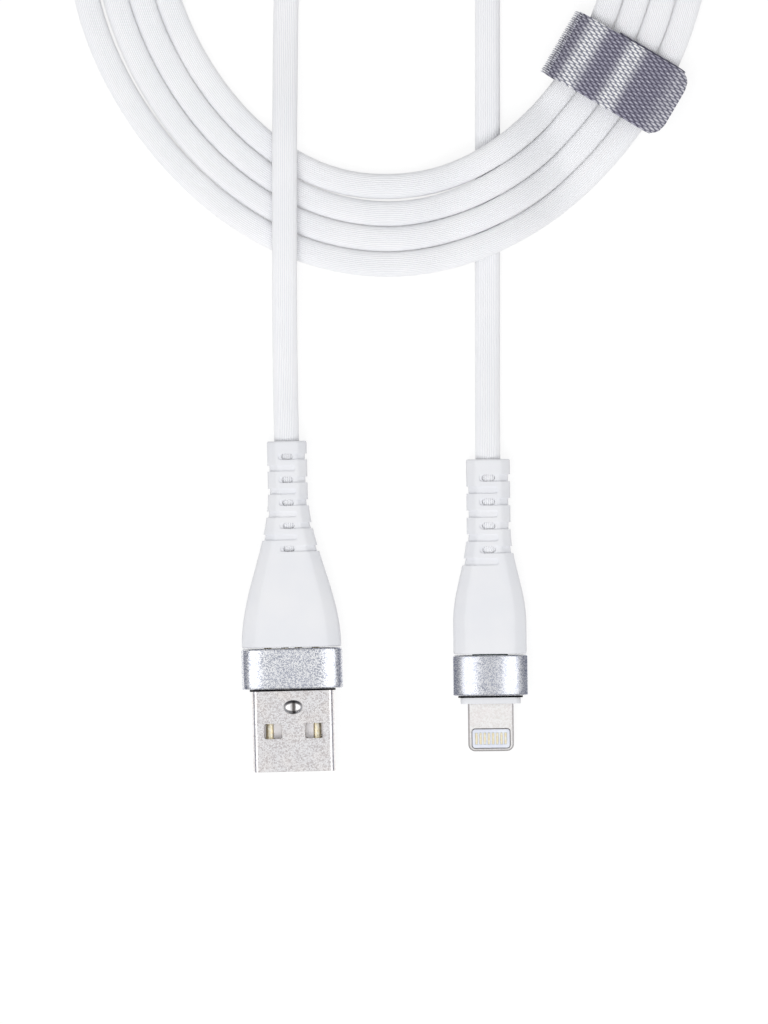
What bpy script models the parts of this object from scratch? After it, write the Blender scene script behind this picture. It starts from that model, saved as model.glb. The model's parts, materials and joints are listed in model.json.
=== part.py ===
"""A charging cable, laid flat and square to the axes, with its cord wound into a coil of four turns.

A wide computer plug and a slim eight-contact phone plug end one ribbed cord. Both plugs point
towards -Y, their boots towards +Y. A hook-and-loop strap goes round all four turns of the coil.
The origin is the middle of the flat underside of the wide plug's metal sleeve, +Z is up.

All sizes below are in millimetres and degrees. MM turns them into metres when a mesh is made.
"""

import math

import bmesh
import bpy
import numpy as np
from mathutils import Vector

for leftover in list(bpy.data.objects):
    bpy.data.objects.remove(leftover, do_unlink=True)

MM = 0.001

# Clearances
SEAT_GAP = 0.3           # between pieces that rest on, meet or enclose each other
FINE_GAP = 0.12          # between contacts or pads and the pockets that hold them
WINDOW_REACH = 3.0       # how far a cutter runs past the walls it cuts
OVAL_END = 0.49          # radius of an oval's round ends, as a share of its width

# Cord
CORD_DIAMETER = 3.34     # under the fine lengthwise ribs
RIB_HEIGHT = 0.13
TURN_GAP = 0.44          # between neighbouring turns, measured under the ribs
WIRE_DIAMETER = 0.8
WIRE_SPREAD = 0.55       # from the cord's axis to each wire, across and up

# Coil: its outer edge is a circle with three soft swellings, first, second and third order
COIL_CENTRE = (14.0, 103.5)
COIL_RADIUS = 45.5
COIL_SWELLS = (0.3, -1.3, 1.6)
COIL_TURNS = 4
OPEN_ANGLE = 104.0       # from straight down to where the parallel lanes end, each side
END_SPREAD = 1.1         # how far the coil's two ends stand off the turn beside them
END_SPREAD_ANGLE = 25.0
POINTS_PER_TURN = 36
HUMP_FLAT = 1.0          # half of the level top where one strand passes over another
HUMP_SLOPE = 13.5
CROSSING_GAP = 0.5
CROSSING_X = 28.6        # where the slim plug's stretch runs under the turns

# Routes of the two stretches that are not wound, as the hand that laid them down chose
STEP_ALONG = 5.0
WIDE_ROUTE = [
    (-1.05, 46.0, 3.6), (-1.1, 53.5, 4.9), (-1.1, 61.0, 5.75), (-1.1, 68.5, 5.8),
    (-1.1, 76.0, 5.75), (-1.05, 83.5, 4.6), (-1.0, 91.0, 2.7), (-0.9, 98.0, 1.85),
    (-0.3, 106.0, 2.2), (1.8, 114.5, 4.0), (6.0, 122.8, 5.6), (12.6, 130.0, 5.8),
    (20.5, 135.8, 5.8), (29.5, 139.4, 5.8), (38.6, 139.3, 5.6), (46.6, 135.2, 4.2),
    (53.2, 129.0, 2.4),
]
SLIM_ROUTE = [
    (28.6, 44.0, 2.0), (CROSSING_X, 54.0, 1.8), (CROSSING_X, 64.0, 1.8),
    (CROSSING_X, 74.0, 1.8), (CROSSING_X, 84.0, 1.8), (CROSSING_X, 94.0, 1.8),
    (28.4, 103.0, 1.8), (27.0, 111.5, 1.8), (23.4, 119.6, 1.8), (17.2, 126.0, 1.8),
    (9.0, 129.6, 1.8), (0.4, 129.6, 1.8), (-7.4, 127.0, 1.8), (-13.6, 122.6, 1.8),
]

# Wide plug: shell, tongue and contacts
SHELL_WIDTH = 12.0
SHELL_HEIGHT = 4.5
SHELL_WALL = 0.3
SHELL_CORNER = 0.75
SHELL_REACH = 12.0       # in front of the sleeve
SHELL_HIDDEN = 5.5       # inside the sleeve
SHELL_WINDOW = (2.7, 2.2)
SHELL_WINDOW_SPACING = 6.0
SHELL_WINDOW_SETBACK = 6.06
DIMPLE = (2.7, 1.7)
DIMPLE_SETBACK = 2.56
DIMPLE_DEPTH = 0.14
TONGUE_HEIGHT = 1.85
TONGUE_SETBACK = 0.5     # behind the shell's mouth
CAVITY_DEPTH = 10.4      # from the shell's mouth to the block behind the tongue
CONTACT_KINDS = ("power", "data_minus", "data_plus", "ground")
CONTACT_OFFSETS = (-3.5, -1.0, 1.0, 3.5)
CONTACT_WIDTH = 1.0
CONTACT_THICKNESS = 0.2
CONTACT_GROOVE_DEPTH = 0.25
CONTACT_SETBACK = 1.0    # behind the tongue's tip
CONTACT_NOSE = 0.8       # length of its sloping nose
CONTACT_NOSE_HEIGHT = 0.08
CONTACT_TAIL = 1.9       # behind the block
FRONT_MOULD_WALL = 0.4
FRONT_LIP_WALL = 0.15
FRONT_LIP_REACH = 0.2    # in front of either sleeve

# Wide plug: sleeve and boot
WIDE_SLEEVE_MARGIN = (2.75, 2.9)  # how much wider and higher it is than the shell
WIDE_SLEEVE_CORNER = 2.6
SLEEVE_LENGTH = 6.06
SLEEVE_WALL = 0.6
SLEEVE_CHAMFER = 0.25
WIDE_BOOT_END = (5.8, 5.6)
WIDE_BOOT_LENGTH = 30.15
WIDE_BOOT_FLARE = (0.0, 23.0)
WIDE_BOOT_CORNERS = (2.4, 1.6)
WIDE_CAN = (9.2, 4.4)
WIDE_CAN_LENGTH = 9.4
WIDE_RELIEF_COUNT = 5
WIDE_RELIEF_PITCH = 3.36
WIDE_RELIEF_END = 2.3    # from the boot's end to the first slot
WIDE_SLOT = (1.7, 0.9)
WIDE_GROOVE_WIDTH = 0.86
WIDE_GROOVE_START = 1.3  # left of the boot's middle for the slotted grooves
WIDE_GROOVE_STOP = 1.2   # right of the boot's middle for the plain grooves

# Slim plug: tab, contact block and pads
TAB_WIDTH = 6.65
TAB_THICKNESS = 1.5
TAB_REACH = 8.05         # in front of the sleeve
TAB_HIDDEN = 4.6
TAB_TIP_RADIUS = 1.0
BLOCK_SIZE = (5.7, 2.95)
BLOCK_RADIUS = 0.5
BLOCK_TIP_MARGIN = 0.38  # from the tab's tip to the block
PAD_COUNT = 8
PAD_PITCH = 0.61
PAD_SIZE = (0.31, 1.68)
PAD_THICKNESS = 0.2
PAD_CORNER = 0.1
PAD_PROUD = 0.04
COLLAR_MARGIN = (2.15, 2.0)       # how much wider and higher its lip is than the tab
COLLAR_LIP_CORNER = 1.0
COLLAR_SLIT_CORNER = 0.2
COLLAR_REACH = 1.1
BOARD_SIZE = (5.2, 0.6)
BOARD_LENGTH = 14.6
BOARD_INSET = 3.3        # from the sleeve's front edge into the tab
BOARD_WIRE_PITCH = 1.2
CHIP_SIZE = (2.6, 2.6, 0.8)
CHIP_SETBACK = 1.8       # from the board's end

# Slim plug: sleeve and boot
SLIM_SLEEVE_MARGIN = (2.1, 2.9)   # how much wider and higher it is than the collar's lip
SLIM_SLEEVE_CORNER = 2.4
SLIM_RING_WALL = 0.2
SLIM_BOOT_END = (6.4, 5.4)
SLIM_BOOT_LENGTH = 28.5
SLIM_BOOT_FLARE = (4.5, 18.5)
SLIM_BOOT_CORNERS = (2.2, 1.6)
SLIM_CAN = (7.8, 4.2)
SLIM_CAN_LENGTH = 8.2
SLIM_RELIEF_COUNT = 4
SLIM_RELIEF_PITCH = 3.5
SLIM_RELIEF_END = 2.75
SLIM_SLOT = (1.9, 1.0)
SLIM_GROOVE_WIDTH = 1.05
SLIM_GROOVE_START = 1.35
SLIM_GROOVE_STOP = 1.4

# Both boots
BOOT_STEP = (0.2, 0.4)   # how much narrower and lower a boot's front is than its sleeve
BOOT_STATIONS = 18
BOOT_EDGE = 0.35         # length of the softened edge at each end
BOOT_EDGE_TRIM = 0.25    # and how far it steps in
PLAIN_GROOVES = 4        # from a boot's left side, between the slotted ones
RELIEF_DEPTH = 0.3
FERRULE_WALL = 0.3
FERRULE_LENGTH = 2.3
CAN_WALL = 0.3
CAN_CORNER = 0.9

# Where the plugs lie
SLIM_PLUG_PLACE = (29.0, -1.0)
WIDE_PLUG_TURN = 1.4
SLIM_PLUG_TURN = 0.65

# Strap, across the strands: its own axis u points out of the coil
STRAP_ANGLE = 63.0       # from straight down, round the coil's middle
STRAP_WIDTH = 10.4
TAPE_THICKNESS = 0.7
STRAP_OVERLAP = 8.3      # of the lower layer, from the outermost strand's axis inwards
STRAP_SLACK = 0.25       # outside the outermost strand, for sliding along the coil
STRAP_SKEW = 0.37        # how far the lower layer has slipped along the strands
TONGUE_OVERHANG = 4.1    # past the outermost strand's axis
TONGUE_CORNER = 2.2
HOOK_PAD_THICKNESS = 0.3
HOOK_PAD_MARGIN = 0.4
LAYER_GAP = 0.12
INNER_SLACK = 0.3        # the same beside the innermost strand
STRAP_LIFT_LEAD = 10.0   # how far round the coil the raised strands reach before the strap
STRAP_LIFT_TAIL = 26.0   # and after it, as far as the strap slides
STRAP_LIFT_SLOPE = 14.0

CORD_OVER_RIBS = CORD_DIAMETER + 2 * RIB_HEIGHT
CORD_RADIUS = CORD_OVER_RIBS / 2
TURN_PITCH = CORD_DIAMETER + TURN_GAP
LANE_SPAN = TURN_PITCH * (COIL_TURNS - 1)
WOUND_IN_ALL = 360.0 * (COIL_TURNS - 1) + 2 * OPEN_ANGLE
BORE_DIAMETER = CORD_DIAMETER + 2 * SEAT_GAP
CROSSING_RISE = CORD_OVER_RIBS + CROSSING_GAP
STRAP_RISE = TAPE_THICKNESS + SEAT_GAP
WIDE_SLEEVE = (SHELL_WIDTH + WIDE_SLEEVE_MARGIN[0], SHELL_HEIGHT + WIDE_SLEEVE_MARGIN[1])
WIDE_BOOT_FRONT = (WIDE_SLEEVE[0] - BOOT_STEP[0], WIDE_SLEEVE[1] - BOOT_STEP[1])
COLLAR_LIP = (TAB_WIDTH + COLLAR_MARGIN[0], TAB_THICKNESS + COLLAR_MARGIN[1])
SLIM_SLEEVE = (COLLAR_LIP[0] + SLIM_SLEEVE_MARGIN[0], COLLAR_LIP[1] + SLIM_SLEEVE_MARGIN[1])
SLIM_BOOT_FRONT = (SLIM_SLEEVE[0] - BOOT_STEP[0], SLIM_SLEEVE[1] - BOOT_STEP[1])
WIDE_AXIS_HEIGHT = WIDE_SLEEVE[1] / 2
SLIM_AXIS_HEIGHT = SLIM_SLEEVE[1] / 2
SLEEVE_FRONT = -SLEEVE_LENGTH / 2
BOOT_START = SLEEVE_LENGTH / 2 + FINE_GAP


# ---------------------------------------------------------------- materials

def finish(name, colour, roughness, metallic=0.0):
    """A plain surface finish for one kind of piece."""
    made = bpy.data.materials.get(name)
    if made:
        return made
    made = bpy.data.materials.new(name)
    made.use_nodes = True
    shader = made.node_tree.nodes["Principled BSDF"]
    shader.inputs["Base Color"].default_value = (*colour, 1.0)
    shader.inputs["Roughness"].default_value = roughness
    shader.inputs["Metallic"].default_value = metallic
    return made


def white_jacket():
    return finish("white_jacket", (0.80, 0.80, 0.82), 0.5)


def white_boot():
    return finish("white_boot", (0.80, 0.80, 0.83), 0.45)


def satin_aluminium():
    return finish("satin_aluminium", (0.62, 0.64, 0.68), 0.38, 1.0)


def nickel_steel():
    return finish("nickel_steel", (0.78, 0.74, 0.71), 0.32, 1.0)


def gold_plate():
    return finish("gold_plate", (0.83, 0.62, 0.27), 0.28, 1.0)


def black_plastic():
    return finish("black_plastic", (0.03, 0.03, 0.035), 0.45)


def pale_insulator():
    return finish("pale_insulator", (0.78, 0.81, 0.85), 0.4)


def woven_silver():
    return finish("woven_silver", (0.30, 0.29, 0.36), 0.6)


def hook_plastic():
    return finish("hook_plastic", (0.35, 0.35, 0.40), 0.55)


def circuit_green():
    return finish("circuit_green", (0.03, 0.20, 0.10), 0.4)


def wire_colour(name):
    tints = {
        "power": (0.55, 0.03, 0.03),
        "data_minus": (0.80, 0.80, 0.80),
        "data_plus": (0.05, 0.35, 0.10),
        "ground": (0.02, 0.02, 0.02),
    }
    return finish("wire_" + name, tints[name], 0.4)


# ---------------------------------------------------------------- mesh helpers

def empty_at(name, place, turn):
    """An empty that carries one assembly, turned about +Z."""
    mark = bpy.data.objects.new(name, None)
    mark.location = Vector(place) * MM
    mark.rotation_euler = (0.0, 0.0, math.radians(turn))
    bpy.context.collection.objects.link(mark)
    return mark


def add_body(bm, loops, ring=False):
    """Skin a row of closed loops; a ring joins the last loop back to the first."""
    rows = [[bm.verts.new(Vector(point) * MM) for point in loop] for loop in loops]
    count = len(rows[0])
    pairs = list(zip(rows, rows[1:]))
    if ring:
        pairs.append((rows[-1], rows[0]))
    for lower, upper in pairs:
        for i in range(count):
            j = (i + 1) % count
            bm.faces.new((lower[i], lower[j], upper[j], upper[i]))
    if not ring:
        bm.faces.new(rows[0])
        bm.faces.new(rows[-1][::-1])


def piece(name, bodies, material, carrier, ring=False):
    """One named object from one or more rows of loops."""
    bm = bmesh.new()
    for loops in bodies:
        add_body(bm, loops, ring)
    bmesh.ops.recalc_face_normals(bm, faces=bm.faces)
    mesh = bpy.data.meshes.new(name)
    bm.to_mesh(mesh)
    bm.free()
    mesh.shade_smooth()
    mesh.set_sharp_from_angle(angle=math.radians(35))
    made = bpy.data.objects.new(name, mesh)
    if material:
        mesh.materials.append(material)
    made.parent = carrier
    bpy.context.collection.objects.link(made)
    return made


def cut(target, cutter):
    """Take the cutter's shape out of the target."""
    cutter.hide_render = True
    cutter.display_type = "WIRE"
    step = target.modifiers.new("cut_" + cutter.name, "BOOLEAN")
    step.operation = "DIFFERENCE"
    step.solver = "EXACT"
    step.object = cutter


def rounded_section(along, width, height, corner, middle=(0.0, 0.0), arc_steps=5):
    """A rounded rectangle square to the plug's axis, at one place along it."""
    corner = min(corner, 0.98 * width / 2, 0.98 * height / 2)
    points = []
    for quarter in range(4):
        side_x = 1 if quarter in (0, 3) else -1
        side_z = 1 if quarter in (0, 1) else -1
        centre_x = middle[0] + side_x * (width / 2 - corner)
        centre_z = middle[1] + side_z * (height / 2 - corner)
        for step in range(arc_steps + 1):
            angle = math.radians(90 * quarter + 90 * step / arc_steps)
            points.append(
                (centre_x + corner * math.cos(angle), along, centre_z + corner * math.sin(angle))
            )
    return points


def round_section(along, diameter):
    """A bore or a round piece's outline, with as many points as a rounded section."""
    return rounded_section(along, diameter, diameter, diameter / 2)


def box_loops(low, high):
    """The two loops of a plain block."""
    outline = [(low[0], low[1]), (high[0], low[1]), (high[0], high[1]), (low[0], high[1])]
    return [[(x, y, z) for x, y in outline] for z in (low[2], high[2])]


def plate_loops(outline, bottom, top):
    """The two loops of a flat plate with an outline in plan."""
    return [[(x, y, z) for x, y in outline] for z in (bottom, top)]


def quarter_arc(centre, radius, first, steps=5):
    """A quarter circle of points in plan, from the first angle on."""
    angles = [math.radians(first + 90 * step / steps) for step in range(steps + 1)]
    return [(centre[0] + radius * math.cos(a), centre[1] + radius * math.sin(a)) for a in angles]


def rounded_outline(centre, width, length, radius, steps=4):
    """A plan outline with four rounded corners."""
    points = []
    for quarter in range(4):
        side_x = 1 if quarter in (0, 3) else -1
        side_y = 1 if quarter in (0, 1) else -1
        corner = (
            centre[0] + side_x * (width / 2 - radius), centre[1] + side_y * (length / 2 - radius),
        )
        points += quarter_arc(corner, radius, 90 * quarter, steps)
    return points


def oval_outline(centre, width, length):
    """A plan outline with round ends, longer across the plug than along it."""
    return rounded_outline(centre, width, length, OVAL_END * length)


def tube(name, points, diameter, sides_level, material, carrier=None):
    """A round tube along a poly curve, closed at both ends."""
    path = bpy.data.curves.new(name, "CURVE")
    path.dimensions = "3D"
    path.twist_mode = "Z_UP"
    path.bevel_depth = diameter / 2 * MM
    path.bevel_resolution = sides_level
    path.use_fill_caps = True
    line = path.splines.new("POLY")
    line.points.add(len(points) - 1)
    for knot, point in zip(line.points, points):
        knot.co = (*(Vector(point) * MM), 1.0)
    line.use_smooth = True
    path.materials.append(material)
    made = bpy.data.objects.new(name, path)
    made.parent = carrier
    bpy.context.collection.objects.link(made)
    return made


def ease(amount):
    """A smooth rise from 0 to 1."""
    amount = min(max(amount, 0.0), 1.0)
    return 0.5 - 0.5 * math.cos(math.pi * amount)


def smooth_curve(knots, spacing):
    """Points along the natural cubic curve through the knots, about one spacing apart."""
    knots = np.array([tuple(k) for k in knots], float)
    chord = np.linalg.norm(np.diff(knots, axis=0), axis=1)
    at = np.concatenate([[0.0], np.cumsum(chord)])
    count = len(knots)
    system = np.eye(count)
    right = np.zeros((count, 3))
    for i in range(1, count - 1):
        before, after = chord[i - 1], chord[i]
        system[i, i - 1:i + 2] = before, 2 * (before + after), after
        slope_after = (knots[i + 1] - knots[i]) / after
        slope_before = (knots[i] - knots[i - 1]) / before
        right[i] = 6 * (slope_after - slope_before)
    bend = np.linalg.solve(system, right)
    total = max(2, round(at[-1] / spacing))
    points = []
    for place in np.linspace(0.0, at[-1], total + 1):
        i = min(np.searchsorted(at, place, side="right") - 1, count - 2)
        span = chord[i]
        left, rest = place - at[i], at[i + 1] - place
        points.append(Vector(
            bend[i] * rest ** 3 / (6 * span)
            + bend[i + 1] * left ** 3 / (6 * span)
            + (knots[i] / span - bend[i] * span / 6) * rest
            + (knots[i + 1] / span - bend[i + 1] * span / 6) * left
        ))
    return points


# ---------------------------------------------------------------- pieces that both plugs have

def make_sleeve(name, size, corner, carrier):
    """A short metal sleeve with chamfered edges."""
    width, height = size
    inner = (width - 2 * SLEEVE_WALL, height - 2 * SLEEVE_WALL)
    inner_corner = corner - SLEEVE_WALL
    back = -SLEEVE_FRONT
    small = [side - 2 * SLEEVE_CHAMFER for side in size]
    loops = [
        rounded_section(SLEEVE_FRONT, *small, corner - SLEEVE_CHAMFER),
        rounded_section(SLEEVE_FRONT + SLEEVE_CHAMFER, width, height, corner),
        rounded_section(back - SLEEVE_CHAMFER, width, height, corner),
        rounded_section(back, *small, corner - SLEEVE_CHAMFER),
        rounded_section(back, *inner, inner_corner),
        rounded_section(SLEEVE_FRONT, *inner, inner_corner),
    ]
    return piece(name, [loops], satin_aluminium(), carrier, ring=True)


def boot_size(along, front, end, flare):
    """Width and height of a boot at one place along it."""
    share = 1 - ease((along - flare[0]) / (flare[1] - flare[0]))
    return [e + (f - e) * share for f, e in zip(front, end)]


def boot_sections(shape, inset=0.0):
    """The outer sections of a boot, or of the core that lies one inset under its surface."""
    length, front, end, flare, corners = shape
    body = length - 2 * BOOT_EDGE
    stops = [BOOT_EDGE + body * i / (BOOT_STATIONS - 1) for i in range(BOOT_STATIONS)]
    loops = []
    for stop in [0.0] + stops + [length]:
        width, height = boot_size(stop, front, end, flare)
        trim = inset + (BOOT_EDGE_TRIM if stop in (0.0, length) else 0.0)
        share = stop / length
        corner = corners[0] + (corners[1] - corners[0]) * share - trim
        loops.append(rounded_section(
            BOOT_START + stop, width - 2 * trim, height - 2 * trim, corner
        ))
    return loops


def make_boot(name, shape, can, can_length, relief, carrier):
    """A moulded boot, hollow for the can, the ferrule and the cord, with its slots and grooves."""
    length = shape[0]
    count, pitch, first, slot, groove, start, stop = relief
    cavity = [side + 2 * SEAT_GAP for side in can]
    cavity_end = BOOT_START + can_length + 2 * SEAT_GAP
    ferrule_bore = BORE_DIAMETER + 2 * (FERRULE_WALL + SEAT_GAP)
    ferrule_end = cavity_end + FERRULE_LENGTH + SEAT_GAP
    cavity_corner = CAN_CORNER + SEAT_GAP
    loops = boot_sections(shape) + [
        round_section(BOOT_START + length, BORE_DIAMETER),
        round_section(ferrule_end, BORE_DIAMETER),
        round_section(ferrule_end, ferrule_bore),
        round_section(cavity_end, ferrule_bore),
        rounded_section(cavity_end, *cavity, cavity_corner),
        rounded_section(BOOT_START, *cavity, cavity_corner),
    ]
    boot = piece(name, [loops], white_boot(), carrier, ring=True)
    core = piece(name + "_core", [boot_sections(shape, RELIEF_DEPTH)], None, carrier)
    reach = max(shape[1])
    slots, grooves = [], []
    for i in range(count):
        along = BOOT_START + length - first - i * pitch
        slots.append(plate_loops(oval_outline((0.0, along), *slot), -reach, reach))
        from_right = oval_outline(((reach - start) / 2, along), reach + start, groove)
        grooves.append(plate_loops(from_right, -reach, reach))
        if i < PLAIN_GROOVES:
            middle = ((stop - reach) / 2, along - pitch / 2)
            from_left = oval_outline(middle, reach + stop, groove)
            grooves.append(plate_loops(from_left, -reach, reach))
    groove_cutter = piece(name + "_grooves", grooves, None, carrier)
    cut(groove_cutter, core)
    cut(boot, groove_cutter)
    cut(boot, piece(name + "_slots", slots, None, carrier))


def make_can(name, can, length, carrier):
    """A folded shield can, open at both ends."""
    start = BOOT_START + SEAT_GAP
    inner = [side - 2 * CAN_WALL for side in can]
    inner_corner = CAN_CORNER - CAN_WALL
    loops = [
        rounded_section(start, *can, CAN_CORNER),
        rounded_section(start + length, *can, CAN_CORNER),
        rounded_section(start + length, *inner, inner_corner),
        rounded_section(start, *inner, inner_corner),
    ]
    return piece(name, [loops], nickel_steel(), carrier, ring=True)


def make_cord_end(prefix, can_length, boot_length, wire_starts, carrier):
    """The jacket's end in the boot, its crimped ferrule, and the four wires ahead of it."""
    can_end = BOOT_START + SEAT_GAP + can_length
    ferrule_start = can_end + SEAT_GAP
    jacket_start = ferrule_start + FERRULE_LENGTH / 4
    outer = BORE_DIAMETER + 2 * FERRULE_WALL
    piece(prefix + "_ferrule", [[
        round_section(ferrule_start, outer),
        round_section(ferrule_start + FERRULE_LENGTH, outer),
        round_section(ferrule_start + FERRULE_LENGTH, BORE_DIAMETER),
        round_section(ferrule_start, BORE_DIAMETER),
    ]], nickel_steel(), carrier, ring=True)
    boot_end = BOOT_START + boot_length
    jacket = [
        Vector((0.0, jacket_start + (boot_end - SEAT_GAP - jacket_start) * i / 6, 0.0))
        for i in range(7)
    ]
    tube(prefix + "_jacket_end", jacket, CORD_DIAMETER, 2, white_jacket(), carrier)
    corners = {
        "power": (-1, 1), "data_minus": (-1, -1), "data_plus": (1, -1), "ground": (1, 1),
    }
    for kind, start in wire_starts.items():
        side, up = corners[kind]
        finish_at = jacket_start - SEAT_GAP
        low = Vector(start)
        high = Vector((side * WIRE_SPREAD, finish_at, up * WIRE_SPREAD))
        run = (finish_at - low.y) / 4
        knots = [low, low + Vector((0, run, 0)), high - Vector((0, run, 0)), high]
        tube(
            prefix + "_wire_" + kind, smooth_curve(knots, 2 * WIRE_DIAMETER),
            WIRE_DIAMETER, 1, wire_colour(kind), carrier,
        )


# ---------------------------------------------------------------- wide plug

def make_wide_shell(carrier):
    """The rolled steel shell, with two windows on each broad face and a pressed dimple."""
    mouth = SLEEVE_FRONT - SHELL_REACH
    back = SLEEVE_FRONT + SHELL_HIDDEN
    inner = (SHELL_WIDTH - 2 * SHELL_WALL, SHELL_HEIGHT - 2 * SHELL_WALL)
    inner_corner = SHELL_CORNER - SHELL_WALL
    loops = [
        rounded_section(mouth, SHELL_WIDTH, SHELL_HEIGHT, SHELL_CORNER),
        rounded_section(back, SHELL_WIDTH, SHELL_HEIGHT, SHELL_CORNER),
        rounded_section(back, *inner, inner_corner),
        rounded_section(mouth, *inner, inner_corner),
    ]
    shell = piece("wide_plug_shell", [loops], nickel_steel(), carrier, ring=True)
    window_width, window_length = SHELL_WINDOW
    along = SLEEVE_FRONT - SHELL_WINDOW_SETBACK
    windows = []
    for side in (-1, 1):
        across = side * SHELL_WINDOW_SPACING / 2
        windows.append(box_loops(
            (across - window_width / 2, along - window_length / 2, -SHELL_HEIGHT),
            (across + window_width / 2, along + window_length / 2, SHELL_HEIGHT),
        ))
    cut(shell, piece("shell_windows", windows, None, carrier))
    top = SHELL_HEIGHT / 2
    dimple = oval_outline((0.0, SLEEVE_FRONT - DIMPLE_SETBACK), *DIMPLE)
    cut(shell, piece(
        "shell_dimple", [plate_loops(dimple, top - DIMPLE_DEPTH, top + WINDOW_REACH)],
        None, carrier,
    ))


def make_wide_tongue(carrier):
    """The insulating tongue and the block behind it, grooved for the four contacts."""
    inner_width = SHELL_WIDTH - 2 * SHELL_WALL - 2 * SEAT_GAP
    inner_half = SHELL_HEIGHT / 2 - SHELL_WALL - FINE_GAP
    tip = SLEEVE_FRONT - SHELL_REACH + TONGUE_SETBACK
    step = SLEEVE_FRONT - SHELL_REACH + CAVITY_DEPTH
    back = SLEEVE_FRONT + SHELL_HIDDEN
    top = -inner_half + TONGUE_HEIGHT
    profile = [
        (tip, -inner_half), (back, -inner_half), (back, inner_half),
        (step, inner_half), (step, top), (tip, top),
    ]
    half = inner_width / 2
    loops = [[(x, y, z) for y, z in profile] for x in (-half, half)]
    tongue = piece("wide_plug_tongue", [loops], pale_insulator(), carrier)
    grooves = []
    for across in CONTACT_OFFSETS:
        grooves.append(box_loops(
            (across - CONTACT_WIDTH / 2 - FINE_GAP, tip + CONTACT_SETBACK - FINE_GAP,
             top - CONTACT_GROOVE_DEPTH),
            (across + CONTACT_WIDTH / 2 + FINE_GAP, back + WINDOW_REACH, top + 2 * FINE_GAP),
        ))
    cut(tongue, piece("tongue_grooves", grooves, None, carrier))
    nose = tip + CONTACT_SETBACK
    tail = back + CONTACT_TAIL
    low = top - CONTACT_GROOVE_DEPTH + FINE_GAP
    high = low + CONTACT_THICKNESS
    profile = [
        (nose, low), (tail, low), (tail, high), (nose + CONTACT_NOSE, high),
        (nose, low + CONTACT_NOSE_HEIGHT),
    ]
    starts = {}
    for kind, across in zip(CONTACT_KINDS, CONTACT_OFFSETS):
        edges = (across - CONTACT_WIDTH / 2, across + CONTACT_WIDTH / 2)
        strip = [[(x, y, z) for y, z in profile] for x in edges]
        piece("wide_plug_contact_" + kind, [strip], gold_plate(), carrier)
        starts[kind] = (across, tail + SEAT_GAP, low)
    return starts


def make_front_mould(carrier):
    """The dark ring that centres the shell in the sleeve, and its lip, a thin line in front."""
    inner = (SHELL_WIDTH + 2 * FINE_GAP, SHELL_HEIGHT + 2 * FINE_GAP)
    lip = [side + 2 * FRONT_LIP_WALL for side in inner]
    outer = [side + 2 * FRONT_MOULD_WALL for side in inner]
    corner = SHELL_CORNER + FINE_GAP
    front = SLEEVE_FRONT - FRONT_LIP_REACH
    shoulder = SLEEVE_FRONT + FINE_GAP
    back = SLEEVE_FRONT + SHELL_HIDDEN
    loops = [
        rounded_section(front, *lip, corner + FRONT_LIP_WALL),
        rounded_section(shoulder, *lip, corner + FRONT_LIP_WALL),
        rounded_section(shoulder, *outer, corner + FRONT_MOULD_WALL),
        rounded_section(back, *outer, corner + FRONT_MOULD_WALL),
        rounded_section(back, *inner, corner),
        rounded_section(front, *inner, corner),
    ]
    piece("wide_plug_front_mould", [loops], black_plastic(), carrier, ring=True)


def make_wide_plug():
    """All sixteen pieces of the computer plug."""
    carrier = empty_at("wide_plug", (0.0, 0.0, WIDE_AXIS_HEIGHT), WIDE_PLUG_TURN)
    make_wide_shell(carrier)
    wire_starts = make_wide_tongue(carrier)
    make_front_mould(carrier)
    make_sleeve("wide_plug_sleeve", WIDE_SLEEVE, WIDE_SLEEVE_CORNER, carrier)
    shape = (
        WIDE_BOOT_LENGTH, WIDE_BOOT_FRONT, WIDE_BOOT_END, WIDE_BOOT_FLARE, WIDE_BOOT_CORNERS,
    )
    relief = (
        WIDE_RELIEF_COUNT, WIDE_RELIEF_PITCH, WIDE_RELIEF_END, WIDE_SLOT,
        WIDE_GROOVE_WIDTH, WIDE_GROOVE_START, WIDE_GROOVE_STOP,
    )
    make_boot("wide_plug_boot", shape, WIDE_CAN, WIDE_CAN_LENGTH, relief, carrier)
    make_can("wide_plug_shield_can", WIDE_CAN, WIDE_CAN_LENGTH, carrier)
    make_cord_end("wide_plug", WIDE_CAN_LENGTH, WIDE_BOOT_LENGTH, wire_starts, carrier)


# ---------------------------------------------------------------- slim plug

def make_tab_frame(carrier):
    """The steel tab: a rounded tip, an opening for the contact block and a slot for the board."""
    tip = SLEEVE_FRONT - TAB_REACH
    back = SLEEVE_FRONT + TAB_HIDDEN
    half = TAB_WIDTH / 2
    outline = [(half, back), (-half, back)]
    for side, first in ((-1, 180), (1, 270)):
        corner = (side * (half - TAB_TIP_RADIUS), tip + TAB_TIP_RADIUS)
        outline += quarter_arc(corner, TAB_TIP_RADIUS, first)
    thick = TAB_THICKNESS / 2
    tab = piece(
        "slim_plug_tab_frame", [plate_loops(outline, -thick, thick)], nickel_steel(), carrier
    )
    block_middle = tip + BLOCK_TIP_MARGIN + BLOCK_SIZE[1] / 2
    opening = rounded_outline((0.0, block_middle), *BLOCK_SIZE, BLOCK_RADIUS)
    reach = TAB_THICKNESS
    cut(tab, piece("tab_opening", [plate_loops(opening, -reach, reach)], None, carrier))
    slot_half = BOARD_SIZE[0] / 2 + FINE_GAP
    slot_thick = BOARD_SIZE[1] / 2 + FINE_GAP
    slot = box_loops(
        (-slot_half, SLEEVE_FRONT - BOARD_INSET - FINE_GAP, -slot_thick),
        (slot_half, back + WINDOW_REACH, slot_thick),
    )
    cut(tab, piece("tab_slot", [slot], None, carrier))
    return block_middle


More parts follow.
